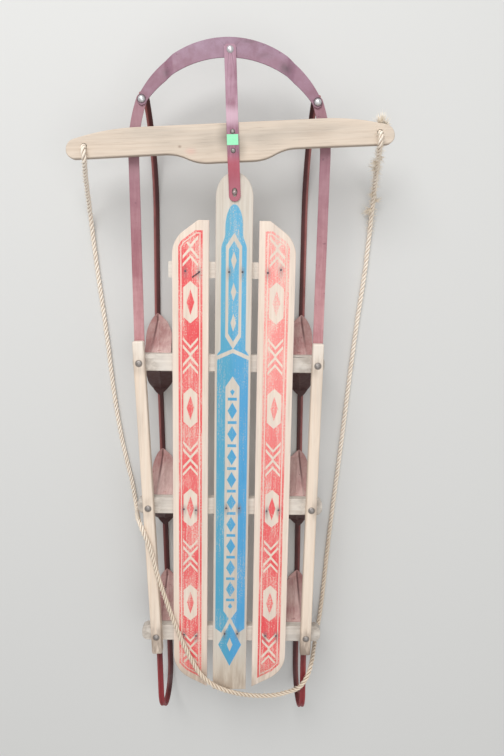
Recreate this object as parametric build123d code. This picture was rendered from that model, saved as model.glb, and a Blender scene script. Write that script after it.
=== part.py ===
from build123d import *
import os
from math import atan2, cos, degrees, dist, pi, radians, sin, tan

# A wooden runner sled, in millimetres. X is to the right, Y forward to the nose, Z up.
# The origin is on the floor under the middle of the overall box. The middle slat's axis is X = 0 until save().

# Heights, from the floor up
RUNNER_THICK = 5.0
KNEE_HEIGHT = 98.0
CROSSBAR_THICK = 20.0
SLAT_THICK = 12.0
RAIL_THICK = 19.0
FLAT_STEEL = 3.0
BAR_THICK = 19.0
RUN_GAP = 0.3
BAR_OVER_STRAP = 5.2
BOW_JOGGLE = 8.0

# Places along the sled
CROSSBAR_YS = (94.0, -205.5, -492.0)
BOLT_LINE_Y = 588.2
LEVER_PIN_Y = 422.4
BAR_Y = 510.9
BATTEN_Y = 277.4
TAIL_LOOP_Y = -635.5
RAIL_FRONT_Y = 137.5
RAIL_REAR_Y = -531.0
RUNNER_SPLIT_Y = 187.0
RUNNER_SPLIT_GAP = 2.5

# The frame leans out of square by this angle about this place, and the noses point a little to the left
RACK_ANGLE = 1.13
RACK_MIDDLE_Y = -329.0
NOSE_AT_REST = 0.32

# Slats
SLAT_WIDTH = 71.0
SLAT_GAP = 12.6
SLAT_NOSE_Y = 460.0
SLAT_NOSE_LENGTH = 46.0
SLAT_TAIL_Y = -616.5
SIDE_SLAT_FRONT_Y = 371.0
SIDE_SLAT_FRONT_FLAT = 21.0
SIDE_SLAT_FRONT_DROP = 37.0
SIDE_SLAT_FRONT_ROUND = 55.0
SIDE_SLAT_TAIL_Y = -610.0
SIDE_SLAT_TAIL_SLOPE = 38.0
SIDE_SLAT_TAIL_ROUND = 62.0
SLAT_EDGE = 1.2
BATTEN_WIDTH = 31.7
BATTEN_THICK = 12.0
BATTEN_ROUND = 2.0
BATTEN_LEFT = -127.5
BATTEN_RIGHT = 118.0

# Cross-bars, rails and their rivets
CROSSBAR_OVERHANG = 15.5
CROSSBAR_WIDTH = 34.5
CROSSBAR_END_ROUND = 13.0
CROSSBAR_EDGE = 1.5
RAIL_WIDTH = 22.0
RAIL_HALF_FRONT = 176.0
RAIL_HALF_REAR = 158.7
RAIL_EDGE_ROUND = 3.5
RAIL_POCKET_Y = 80.0
RIVET_SHANK_R = 3.5
RIVET_HEAD_R = 6.2
RIVET_HEAD_HIGH = 2.4
RIVET_FIT = 0.1

# Runners, grooved steel strip
RUNNER_WIDTH = 12.0
RUNNER_GROOVE_WIDTH = 4.0
RUNNER_GROOVE_DEEP = 1.5
RUNNER_IN_FRONT = 21.0
RUNNER_IN_REAR = 11.0
RUNNER_TAIL_LEAN = 6.8
RUNNER_NOSE_LEAN = 8.7
RETURN_END_Y = -514.0
NOSE_BEYOND_BOLT = 13.75
NOSE_CURVE_R = 300.0
NOSE_CURVE_TURN = 42.0
NOSE_TIP_R = 28.0
NOSE_HOOK_R = 8.0
NOSE_TAB = 16.0

# Knees, pressed steel sheet
KNEE_SHEET = 2.0
KNEE_WIDTH = 53.0
KNEE_INSET = 13.0
KNEE_REACH = 90.0
KNEE_FULL_TO = 50.0
KNEE_LEAF_BELLY = 0.6
KNEE_LEAF_BELLY_Y = 4.0
KNEE_LEAF_SHIFT = 2.0
KNEE_SEAT_FIT = 0.1
KNEE_SPARE = 5.0
KNEE_FOOT = 18.0
KNEE_RIB_WIDE = 16.0
KNEE_RIB_HIGH = 4.0

# Straps, bow and bolts
STRAP_WIDTH = 20.0
STRAP_FLARE = 4.6
STRAP_BEND_AT = 396.0
BOLT_HALF_SPAN = 163.7
BOLT_SHANK_R = 3.0
BOLT_HEAD_R = 6.6
BOLT_HEAD_HIGH = 3.6
NUT_R = 5.5
NUT_HIGH = 5.0
NUT_GAP = 1.4
BOLT_PAST_NUT = 1.0
OPEN_PIVOT_GAP = 0.8
BOW_REACH = 107.1
BOW_MIDDLE_WIDTH = 34.8
BOW_CENTRE_BOLT = 85.1
BOW_END_OUTER = (172.5, -1.3)
BOW_END_INNER = (153.1, -2.5)
BOW_OUTER_CHAMFER = (3.0, -8.0)
BOW_INNER_CHAMFER = (3.4, -8.5)
BOW_TIP_Y = -11.5
BOW_JOGGLE_AT = 105.0
BOW_JOGGLE_RUN = 14.0

# Lever and steering bar
LEVER_WIDTH = 22.0
LEVER_TAIL = 16.6
LEVER_FRONT = 9.4
LEVER_CHAMFER = 4.0
LEVER_SLOT_HALF = 7.7
LEVER_FRONT_SLOT_HALF = 5.0
LEVER_REAR_RAMP = 26.0
LEVER_FRONT_RAMP = 35.0
LEVER_REAR_MARGIN = 2.0
LEVER_FRONT_MARGIN = 26.0
LEVER_RIVETS = (72.8, 106.6)
PIN_SHANK_R = 3.2
PIN_HEAD_R = 4.8
PIN_HEAD_HIGH = 2.6
BAR_LENGTH = 608.0
BAR_WIDTH = 69.0
BAR_ARM_WIDTH = 50.0
BAR_BELLY_HALF = 42.0
BAR_ARM_FROM = 122.0
BAR_TAPER = 134.0
BAR_TAPER_DROP = 20.0
BAR_REAR_DROP = 1.0
BAR_TIP_FRONT_ROUND = 20.0
BAR_TIP_REAR_ROUND = 15.0
BAR_ON_LEVER = 1.05
BAR_SHIFT = -5.0
BAR_EDGE_ROUND = 2.5
BAR_RIVET_HEAD_R = 4.6
LEFT_HOLE_FROM_END = 34.5
RIGHT_HOLE_FROM_END = 27.0
ROPE_HOLE_Y = 4.7
ROPE_HOLE_R = 5.6

# Rope and knots
ROPE_R = 5.0
KNOT_R = 12.0
KNOT_HIGH = 19.0
KNOT_CORNER = 5.0
ROPE_CUT_Z = 76.0
ROPE_SHARED_POINTS = 2

# What follows from them
CROSSBAR_Z = RUNNER_THICK + KNEE_HEIGHT
DECK_Z = CROSSBAR_Z + CROSSBAR_THICK
SLAT_TOP = DECK_Z + SLAT_THICK
RAIL_TOP = DECK_Z + RAIL_THICK
STRAP_Z = DECK_Z + RUN_GAP
STRAP_TOP = STRAP_Z + FLAT_STEEL
BOW_Z = STRAP_TOP + RUN_GAP
BOW_TOP = BOW_Z + FLAT_STEEL
BAR_Z = STRAP_TOP + BAR_OVER_STRAP
BAR_TOP = BAR_Z + BAR_THICK
LEVER_FRONT_Z = BOW_TOP + BOW_JOGGLE + RUN_GAP
LEVER_REAR_Z = SLAT_TOP + RUN_GAP
SIDE_SLAT_IN = SLAT_WIDTH / 2 + SLAT_GAP
SIDE_SLAT_OUT = SIDE_SLAT_IN + SLAT_WIDTH
TAIL_LOOP_R = (DECK_Z - RUNNER_THICK) / 2
CROSSBAR_LENGTH = 2 * (RAIL_HALF_FRONT + CROSSBAR_OVERHANG)
RUNNER_HALF_FRONT = RAIL_HALF_FRONT - RUNNER_IN_FRONT
RUNNER_HALF_REAR = RAIL_HALF_REAR - RUNNER_IN_REAR
ROPE_HOLE_X = {-1: BAR_LENGTH / 2 - LEFT_HOLE_FROM_END, 1: BAR_LENGTH / 2 - RIGHT_HOLE_FROM_END}
HIGH = 400.0


def rack_shift(y):
    """How far the frame stands to the right at y, because it is out of square."""
    return -tan(radians(RACK_ANGLE)) * (y - RACK_MIDDLE_Y)


def between(y, y_front, half_front, y_rear, half_rear):
    """A half width that changes evenly from the front place to the rear one."""
    return half_rear + (half_front - half_rear) * (y - y_rear) / (y_front - y_rear)


def rail_point(side, y):
    half = between(y, CROSSBAR_YS[0], RAIL_HALF_FRONT, CROSSBAR_YS[-1], RAIL_HALF_REAR)
    return (side * half + rack_shift(y), y)


def runner_point(side, y):
    half = between(y, RUNNER_SPLIT_Y, RUNNER_HALF_FRONT, TAIL_LOOP_Y, RUNNER_HALF_REAR)
    return (side * half + rack_shift(y), y)


def turned(point, pivot, angle):
    """The point turned about the pivot in plan."""
    dx = point[0] - pivot[0]
    dy = point[1] - pivot[1]
    c = cos(radians(angle))
    s = sin(radians(angle))
    return (pivot[0] + dx * c - dy * s, pivot[1] + dx * s + dy * c)


def lay(part, rear, front):
    """Places a part that runs along +Y from its origin so that it points from rear to front."""
    angle = degrees(atan2(rear[0] - front[0], front[1] - rear[1]))
    return Pos(rear[0], rear[1], 0) * Rot(0, 0, angle) * part


def handed(part, side):
    """The part as made for the right side, mirrored for the left."""
    return part if side > 0 else mirror(part, about=Plane.YZ)


def bore(point, radius):
    """A long vertical cylinder to cut a hole with."""
    return Pos(point[0], point[1], 0) * Cylinder(radius, HIGH, align=(Align.CENTER, Align.CENTER, Align.CENTER))


def dome(radius, high):
    """A round head, flat below, its top part of a sphere."""
    ball_r = (radius * radius + high * high) / (2 * high)
    ball = Pos(0, 0, high - ball_r) * Sphere(ball_r)
    return ball & Cylinder(radius, high, align=(Align.CENTER, Align.CENTER, Align.MIN))


def standing(radius, low, top):
    """A vertical cylinder between two heights."""
    return Pos(0, 0, low) * Cylinder(radius, top - low, align=(Align.CENTER, Align.CENTER, Align.MIN))


def plan_cut(outline, low, top):
    """A plan outline made solid between two heights."""
    return Pos(0, 0, low) * extrude(outline, top - low)


def above(z):
    """All the space over a height, to trim what leans through it."""
    return Pos(0, 0, z) * Box(8 * HIGH, 8 * HIGH, HIGH, align=(Align.CENTER, Align.CENTER, Align.MIN))


def save(part, name):
    part = Pos(CENTRING[0], CENTRING[1], 0) * part
    export_step(part, "parts/" + name + ".step")
    return part


# Pivots in plan
NOSE_PIVOT = {}
END_BOLT = {}
SIDES = (("left", -1), ("right", 1))
for side_name, side in SIDES:
    NOSE_PIVOT[side] = rail_point(side, CROSSBAR_YS[0])
    straight_end = (NOSE_PIVOT[side][0] - side * (RAIL_HALF_FRONT - BOLT_HALF_SPAN), BOLT_LINE_Y)
    END_BOLT[side] = turned(straight_end, NOSE_PIVOT[side], NOSE_AT_REST)
BOW_MIDDLE = ((END_BOLT[-1][0] + END_BOLT[1][0]) / 2, (END_BOLT[-1][1] + END_BOLT[1][1]) / 2)
BOW_ANGLE = degrees(atan2(END_BOLT[1][1] - END_BOLT[-1][1], END_BOLT[1][0] - END_BOLT[-1][0]))
CENTRE_BOLT = turned((BOW_MIDDLE[0], BOW_MIDDLE[1] + BOW_CENTRE_BOLT), BOW_MIDDLE, BOW_ANGLE)
LEVER_PIN = (0.0, LEVER_PIN_Y)
LEVER_LENGTH = dist(LEVER_PIN, CENTRE_BOLT)
LEVER_ANGLE = degrees(atan2(LEVER_PIN[0] - CENTRE_BOLT[0], CENTRE_BOLT[1] - LEVER_PIN[1]))
BAR_ANGLE = LEVER_ANGLE + BAR_ON_LEVER
BAR_MIDDLE = turned((BAR_SHIFT, BAR_Y), LEVER_PIN, LEVER_ANGLE)
ROPE_HOLE = {}
for side_name, side in SIDES:
    hole = (BAR_MIDDLE[0] + side * ROPE_HOLE_X[side], BAR_MIDDLE[1] + ROPE_HOLE_Y)
    ROPE_HOLE[side] = turned(hole, BAR_MIDDLE, BAR_ANGLE)
TAIL_END_Y = TAIL_LOOP_Y - TAIL_LOOP_R - RUNNER_THICK / 2
CENTRING = (-BAR_MIDDLE[0], -(BOLT_LINE_Y + BOW_REACH + TAIL_END_Y) / 2)


def middle_slat():
    nose_y = SLAT_NOSE_Y - SLAT_NOSE_LENGTH
    straight = Pos(0, (SLAT_TAIL_Y + nose_y) / 2) * Rectangle(SLAT_WIDTH, nose_y - SLAT_TAIL_Y)
    nose = Pos(0, nose_y) * Ellipse(SLAT_WIDTH / 2, SLAT_NOSE_LENGTH)
    slat = plan_cut(straight + nose, DECK_Z, SLAT_TOP)
    slat = chamfer(slat.faces().sort_by(Axis.Z)[-1].edges(), SLAT_EDGE)
    return slat - bore(LEVER_PIN, PIN_SHANK_R + RIVET_FIT)


def side_slat():
    """Right side slat: its outer front corner cut and rounded, its tail sloping and rounded."""
    front_corner = (SIDE_SLAT_OUT, SIDE_SLAT_FRONT_Y - SIDE_SLAT_FRONT_DROP)
    tail_corner = (SIDE_SLAT_OUT, SIDE_SLAT_TAIL_Y + SIDE_SLAT_TAIL_SLOPE)
    corners = [
        (SIDE_SLAT_IN, SIDE_SLAT_TAIL_Y), (SIDE_SLAT_IN, SIDE_SLAT_FRONT_Y),
        (SIDE_SLAT_IN + SIDE_SLAT_FRONT_FLAT, SIDE_SLAT_FRONT_Y), front_corner, tail_corner,
    ]
    outline = make_face(Polyline(*corners, close=True))
    for corner, radius in ((front_corner, SIDE_SLAT_FRONT_ROUND), (tail_corner, SIDE_SLAT_TAIL_ROUND)):
        outline = fillet(outline.vertices().sort_by_distance((corner[0], corner[1], 0))[0], radius)
    slat = plan_cut(outline, DECK_Z, SLAT_TOP)
    return chamfer(slat.faces().sort_by(Axis.Z)[-1].edges(), SLAT_EDGE)


def batten():
    width = BATTEN_RIGHT - BATTEN_LEFT
    block = Box(width, BATTEN_WIDTH, BATTEN_THICK, align=(Align.MIN, Align.CENTER, Align.MAX))
    return Pos(BATTEN_LEFT, BATTEN_Y, DECK_Z) * fillet(block.edges().filter_by(Axis.Z), BATTEN_ROUND)


def crossbar(y):
    outline = RectangleRounded(CROSSBAR_LENGTH, CROSSBAR_WIDTH, CROSSBAR_END_ROUND)
    bar = plan_cut(Pos(rack_shift(y), y) * outline, CROSSBAR_Z, DECK_Z)
    bar = chamfer(bar.faces().sort_by(Axis.Z)[-1].edges() + bar.faces().sort_by(Axis.Z)[0].edges(), CROSSBAR_EDGE)
    for side_name, side in SIDES:
        bar -= bore(rail_point(side, y), RIVET_SHANK_R + RIVET_FIT)
    return bar


def rail(side):
    front = rail_point(side, RAIL_FRONT_Y)
    rear = rail_point(side, RAIL_REAR_Y)
    length = dist(front, rear)
    block = Box(RAIL_WIDTH, length, RAIL_THICK, align=(Align.CENTER, Align.MIN, Align.MIN))
    block = fillet(block.edges().filter_by(Axis.Z), RAIL_EDGE_ROUND)
    block = fillet(block.faces().sort_by(Axis.Z)[-1].edges(), RAIL_EDGE_ROUND)
    pocket_long = RAIL_FRONT_Y - RAIL_POCKET_Y
    pocket_high = STRAP_TOP + RUN_GAP - DECK_Z
    pocket = Box(2 * RAIL_WIDTH, pocket_long, pocket_high, align=(Align.CENTER, Align.MAX, Align.MIN))
    block -= Pos(0, length, 0) * pocket
    block = lay(Pos(0, 0, DECK_Z) * block, rear, front)
    for y in CROSSBAR_YS:
        block -= bore(rail_point(side, y), RIVET_SHANK_R + RIVET_FIT)
    return block


def rail_rivet(side, y):
    rivet = Pos(0, 0, RAIL_TOP) * dome(RIVET_HEAD_R, RIVET_HEAD_HIGH)
    rivet += standing(RIVET_SHANK_R, CROSSBAR_Z, RAIL_TOP)
    x, y = rail_point(side, y)
    return Pos(x, y, 0) * rivet


def runner_section():
    """The strip's section at the start of a path that runs along Y, sole down, with its groove."""
    half = RUNNER_WIDTH / 2
    groove = RUNNER_GROOVE_WIDTH / 2
    top = RUNNER_THICK / 2
    points = [
        (-half, top), (half, top), (half, -top), (groove, -top),
        (groove, RUNNER_GROOVE_DEEP - top), (-groove, RUNNER_GROOVE_DEEP - top), (-groove, -top), (-half, -top),
    ]
    return make_face(Polyline(*points, close=True))


def strip_along(path, heading, lean):
    """Sweeps the strip along a path drawn as (along, up) from its sole's centre, leaning outwards as it rises."""
    path = Pos(0, 0, RUNNER_THICK / 2) * Rot(0, degrees(atan2(lean, DECK_Z - RUNNER_THICK)), 0) * (Plane.YZ * path)
    start = Plane(origin=path @ 0, x_dir=(heading, 0, 0), z_dir=(0, heading, 0))
    section = start * Rot(0, 0, 180 if heading > 0 else 0) * runner_section()
    if heading < 0:
        section = start * mirror(runner_section(), about=Plane.XZ)
    return sweep(section, path=path)


def rear_runner(side):
    """From the split back along the ground, round the tail loop and forward under the rail's end."""
    rear = runner_point(side, TAIL_LOOP_Y)
    front = runner_point(side, RUNNER_SPLIT_Y - RUNNER_SPLIT_GAP / 2)
    ground = Line((dist(rear, front), 0), (0, 0))
    loop = JernArc((0, 0), (-1, 0), TAIL_LOOP_R, -180)
    back = Line(loop @ 1, (RETURN_END_Y - TAIL_LOOP_Y, 2 * TAIL_LOOP_R))
    strip = strip_along(ground + loop + back, -1, RUNNER_TAIL_LEAN)
    return lay(handed(strip, side), rear, front) - above(DECK_Z)


def nose_runner(side):
    """From the split forward, up the nose curve and back under the strap's end."""
    rear = runner_point(side, RUNNER_SPLIT_Y + RUNNER_SPLIT_GAP / 2)
    front = (END_BOLT[side][0] - side * RUNNER_NOSE_LEAN, END_BOLT[side][1])
    top_of_curve = sin(radians(NOSE_CURVE_TURN))
    curved = NOSE_CURVE_R * top_of_curve + NOSE_TIP_R * (1 - top_of_curve)
    ground = Line((0, 0), (dist(rear, front) + NOSE_BEYOND_BOLT - curved, 0))
    curve = JernArc(ground @ 1, (1, 0), NOSE_CURVE_R, NOSE_CURVE_TURN)
    tip = JernArc(curve @ 1, curve % 1, NOSE_TIP_R, 90 - NOSE_CURVE_TURN)
    tab_up = STRAP_Z - RUNNER_THICK
    rise = Line(tip @ 1, ((tip @ 1).X, tab_up - NOSE_HOOK_R))
    hook = JernArc(rise @ 1, (0, 1), NOSE_HOOK_R, 90)
    tab = Line(hook @ 1, ((hook @ 1).X - NOSE_TAB, (hook @ 1).Y))
    strip = strip_along(ground + curve + tip + rise + hook + tab, 1, RUNNER_NOSE_LEAN)
    strip = lay(handed(strip, side), rear, front) - above(STRAP_Z)
    return strip - bore(END_BOLT[side], BOLT_SHANK_R + end_gap(side))


def end_gap(side):
    """The left end bolt is the bow's pivot, and the right one is the linkage's open pivot."""
    return RUN_GAP if side < 0 else OPEN_PIVOT_GAP


def knee_outline():
    """Plan of a right knee about its cross-bar's middle: two leaves whose tips stand outboard."""
    half = KNEE_WIDTH / 2
    shoulder = KNEE_INSET * (KNEE_FULL_TO - CROSSBAR_WIDTH / 2) / (KNEE_REACH - CROSSBAR_WIDTH / 2)
    side_y = (KNEE_FULL_TO + KNEE_REACH) / 2 + KNEE_LEAF_BELLY_Y
    flank = (shoulder + KNEE_INSET) / 2 + KNEE_LEAF_SHIFT
    belly = KNEE_LEAF_BELLY * half
    edges = [
        Line((-half, 0), (half, 0)),
        Line((half, 0), (half + shoulder, KNEE_FULL_TO)),
        ThreePointArc((half + shoulder, KNEE_FULL_TO), (flank + belly, side_y), (KNEE_INSET, KNEE_REACH)),
        ThreePointArc((KNEE_INSET, KNEE_REACH), (flank - belly, side_y), (shoulder - half, KNEE_FULL_TO)),
        Line((shoulder - half, KNEE_FULL_TO), (-half, 0)),
    ]
    return make_face(edges)


def knee():
    """A right knee with its origin under the cross-bar's middle, on the floor."""
    top_mid = CROSSBAR_Z - KNEE_SHEET / 2
    foot_mid = RUNNER_THICK + KNEE_SHEET / 2
    bend_y = CROSSBAR_WIDTH / 2
    foot_y = KNEE_REACH - KNEE_FOOT
    wide = 2 * KNEE_WIDTH
    centre_line = Polyline((0, top_mid), (bend_y, top_mid), (foot_y, foot_mid), (KNEE_REACH + KNEE_SPARE, foot_mid))
    band = Plane.YZ * trace(centre_line, line_width=KNEE_SHEET)
    sheet = extrude(band, wide / 2, both=True)
    run = foot_y - bend_y
    drop = top_mid - foot_mid
    slope = degrees(atan2(drop, run))
    lean = KNEE_INSET * run / (KNEE_REACH - bend_y)
    rib_face = make_face(Polyline((-KNEE_RIB_WIDE / 2, 0), (0, KNEE_RIB_HIGH), (KNEE_RIB_WIDE / 2, 0), close=True))
    rib_top = (0, bend_y + KNEE_SHEET, top_mid - KNEE_SHEET * tan(radians(slope)))
    rib_end = (lean, foot_y, foot_mid)
    heading = Vector(*rib_end) - Vector(*rib_top)
    across = Vector(1, 0, 0) - heading * (heading.X / heading.length ** 2)
    rib_plane = Plane(origin=rib_top, x_dir=across, z_dir=heading)
    rib = extrude(rib_plane * mirror(rib_face, about=Plane.XZ), heading.length)
    leg = (sheet + rib) & plan_cut(knee_outline(), 0, HIGH)
    over = Box(wide, CROSSBAR_WIDTH + 2 * KNEE_SEAT_FIT, CROSSBAR_THICK, align=(Align.CENTER, Align.CENTER, Align.MIN))
    leg -= Pos(0, 0, CROSSBAR_Z) * over
    leg -= Box(2 * wide, 2 * HIGH, RUNNER_THICK, align=(Align.CENTER, Align.CENTER, Align.MIN))
    return leg + mirror(leg, about=Plane.XZ)


def placed_knee(side, y):
    x = runner_point(side, y)[0] - side * KNEE_INSET
    return Pos(x, y, 0) * Rot(0, 0, RACK_ANGLE) * handed(knee(), side)


def strap(side):
    """Flat strap from the rail's front rivet to the bow's end, its front bent inwards in its own plane."""
    start = (0, 0)
    bend = (STRAP_FLARE, STRAP_BEND_AT)
    end = (BOLT_HALF_SPAN - RAIL_HALF_FRONT, BOLT_LINE_Y - CROSSBAR_YS[0])
    straight = Line(start, bend)
    curve = TangentArc(bend, end, tangent=straight % 1)
    outline = trace(straight + curve, line_width=STRAP_WIDTH)
    outline += Circle(STRAP_WIDTH / 2) + Pos(*end) * Circle(STRAP_WIDTH / 2)
    plate = handed(plan_cut(outline, STRAP_Z, STRAP_TOP), side)
    pivot = NOSE_PIVOT[side]
    plate = Pos(pivot[0], pivot[1], 0) * Rot(0, 0, NOSE_AT_REST) * plate
    plate -= bore(pivot, RIVET_SHANK_R + RUN_GAP)
    return plate - bore(END_BOLT[side], BOLT_SHANK_R + end_gap(side))


def bow():
    """A crescent of flat steel, its middle joggled up, its ends chamfered round their bolts."""
    outer_x, outer_y = BOW_END_OUTER
    inner_x, inner_y = BOW_END_INNER
    outer = ThreePointArc((-outer_x, outer_y), (0, BOW_REACH), (outer_x, outer_y))
    inner = ThreePointArc((-inner_x, inner_y), (0, BOW_REACH - BOW_MIDDLE_WIDTH), (inner_x, inner_y))
    corners = (
        BOW_END_OUTER, (outer_x - BOW_OUTER_CHAMFER[0], BOW_OUTER_CHAMFER[1]), (BOLT_HALF_SPAN, BOW_TIP_Y),
        (inner_x + BOW_INNER_CHAMFER[0], BOW_INNER_CHAMFER[1]), BOW_END_INNER,
    )
    ends = []
    for side_name, side in SIDES:
        ends.append(Polyline(*[(side * x, y) for x, y in corners]))
    outline = make_face([outer, inner] + ends)
    top_in = BOW_JOGGLE_AT
    top_out = BOW_JOGGLE_AT + BOW_JOGGLE_RUN
    far = 2 * outer_x
    lower = [(-far, 0), (-top_out, 0), (-top_in, BOW_JOGGLE), (top_in, BOW_JOGGLE), (top_out, 0), (far, 0)]
    upper = [(x, z + FLAT_STEEL) for x, z in reversed(lower)]
    band = Plane.XZ * make_face(Polyline(*(lower + upper), close=True))
    sheet = Pos(0, 0, BOW_Z) * extrude(band, HIGH, both=True)
    sheet = sheet & plan_cut(outline, 0, HIGH)
    sheet = Pos(BOW_MIDDLE[0], BOW_MIDDLE[1], 0) * Rot(0, 0, BOW_ANGLE) * sheet
    for point in (END_BOLT[-1], END_BOLT[1], CENTRE_BOLT):
        sheet -= bore(point, BOLT_SHANK_R + RIVET_FIT)
    return sheet


def bolt(point, under_head, over_nut):
    """A round-headed bolt with its nut below."""
    body = Pos(0, 0, under_head) * dome(BOLT_HEAD_R, BOLT_HEAD_HIGH)
    body += standing(BOLT_SHANK_R, over_nut - NUT_HIGH - BOLT_PAST_NUT, under_head)
    body += Pos(0, 0, over_nut - NUT_HIGH) * extrude(RegularPolygon(NUT_R, 6), NUT_HIGH)
    return Pos(point[0], point[1], 0) * body


def lever():
    """A flat strap that steps up over the steering bar, slotted at its rear pin."""
    bar_along = BAR_Y - LEVER_PIN_Y
    rear_high = bar_along - BAR_WIDTH / 2 - LEVER_REAR_MARGIN
    rear_low = rear_high - LEVER_REAR_RAMP
    front_high = bar_along + BAR_WIDTH / 2 + LEVER_FRONT_MARGIN
    front_low = front_high + LEVER_FRONT_RAMP
    line = [
        (-LEVER_TAIL, LEVER_REAR_Z), (rear_low, LEVER_REAR_Z), (rear_high, BAR_TOP),
        (front_high, BAR_TOP), (front_low, LEVER_FRONT_Z), (LEVER_LENGTH + LEVER_FRONT, LEVER_FRONT_Z),
    ]
    upper = [(y, z + FLAT_STEEL) for y, z in reversed(line)]
    band = extrude(Plane.YZ * make_face(Polyline(*(line + upper), close=True)), LEVER_WIDTH, both=True)
    tail_y = LEVER_WIDTH / 2 - LEVER_TAIL
    tip_y = LEVER_LENGTH + LEVER_FRONT
    outline = Pos(0, (tail_y + tip_y) / 2) * Rectangle(LEVER_WIDTH, tip_y - tail_y)
    outline = chamfer(outline.vertices().group_by(Axis.Y)[-1], LEVER_CHAMFER)
    outline += Pos(0, tail_y) * Circle(LEVER_WIDTH / 2)
    plate = band & plan_cut(outline, 0, HIGH)
    slot = SlotCenterToCenter(2 * (LEVER_SLOT_HALF - PIN_SHANK_R), 2 * (PIN_SHANK_R + RUN_GAP), rotation=90)
    plate -= plan_cut(slot, 0, HIGH)
    front_width = 2 * (BOLT_SHANK_R + RUN_GAP)
    front_slot = SlotCenterToCenter(2 * LEVER_FRONT_SLOT_HALF - front_width, front_width, rotation=90)
    plate -= plan_cut(Pos(0, LEVER_LENGTH) * front_slot, 0, HIGH)
    for y in LEVER_RIVETS:
        plate -= bore((0, y), RIVET_SHANK_R + RIVET_FIT)
    return Pos(LEVER_PIN[0], LEVER_PIN[1], 0) * Rot(0, 0, LEVER_ANGLE) * plate


def rivet_point(along):
    return turned((LEVER_PIN[0], LEVER_PIN[1] + along), LEVER_PIN, LEVER_ANGLE)


def steering_bar():
    """Straight in front, a belly behind the lever, and rounded tips with rope holes."""
    front = BAR_WIDTH / 2
    rear = -BAR_WIDTH / 2
    arm = front - BAR_ARM_WIDTH
    half = BAR_LENGTH / 2
    taper_from = half - BAR_TAPER
    edges = [Line((-taper_from, front), (taper_from, front)), Line((-BAR_BELLY_HALF, rear), (BAR_BELLY_HALF, rear))]
    tips = []
    for side_name, side in SIDES:
        middle = (side * (BAR_BELLY_HALF + BAR_ARM_FROM) / 2, (rear + arm) / 2)
        belly = TangentArc((side * BAR_BELLY_HALF, rear), middle, tangent=(side, 0))
        edges.append(belly)
        edges.append(TangentArc(middle, (side * BAR_ARM_FROM, arm), tangent=belly % 1))
        rear_tip = (side * half, arm - BAR_REAR_DROP)
        front_tip = (side * half, front - BAR_TAPER_DROP)
        edges.append(Line((side * BAR_ARM_FROM, arm), rear_tip))
        edges.append(Line(rear_tip, front_tip))
        edges.append(TangentArc((side * taper_from, front), front_tip, tangent=(side, 0)))
        tips += [(rear_tip, BAR_TIP_REAR_ROUND), (front_tip, BAR_TIP_FRONT_ROUND)]
    outline = make_face(edges)
    for corner, radius in tips:
        outline = fillet(outline.vertices().sort_by_distance((corner[0], corner[1], 0))[0], radius)
    blank = plan_cut(outline, 0, BAR_THICK)
    for face in (blank.faces().sort_by(Axis.Z)[-1], blank.faces().sort_by(Axis.Z)[0]):
        blank = fillet(blank.edges().filter_by_position(Axis.Z, face.center().Z, face.center().Z), BAR_EDGE_ROUND)
    for side_name, side in SIDES:
        blank -= bore((side * ROPE_HOLE_X[side], ROPE_HOLE_Y), ROPE_HOLE_R)
    blank = Pos(BAR_MIDDLE[0], BAR_MIDDLE[1], BAR_Z) * Rot(0, 0, BAR_ANGLE) * blank
    for y in LEVER_RIVETS:
        blank -= bore(rivet_point(y), RIVET_SHANK_R + RIVET_FIT)
    return blank


def bar_rivet(along):
    x, y = rivet_point(along)
    rivet = Pos(0, 0, BAR_TOP + FLAT_STEEL) * dome(BAR_RIVET_HEAD_R, RIVET_HEAD_HIGH)
    rivet += standing(RIVET_SHANK_R, BAR_Z, BAR_TOP + FLAT_STEEL)
    return Pos(x, y, 0) * rivet


def lever_pin():
    pin = Pos(0, 0, LEVER_REAR_Z + FLAT_STEEL + RUN_GAP) * dome(PIN_HEAD_R, PIN_HEAD_HIGH)
    pin += standing(PIN_SHANK_R, DECK_Z, LEVER_REAR_Z + FLAT_STEEL + RUN_GAP)
    return Pos(LEVER_PIN[0], LEVER_PIN[1], 0) * pin


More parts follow.
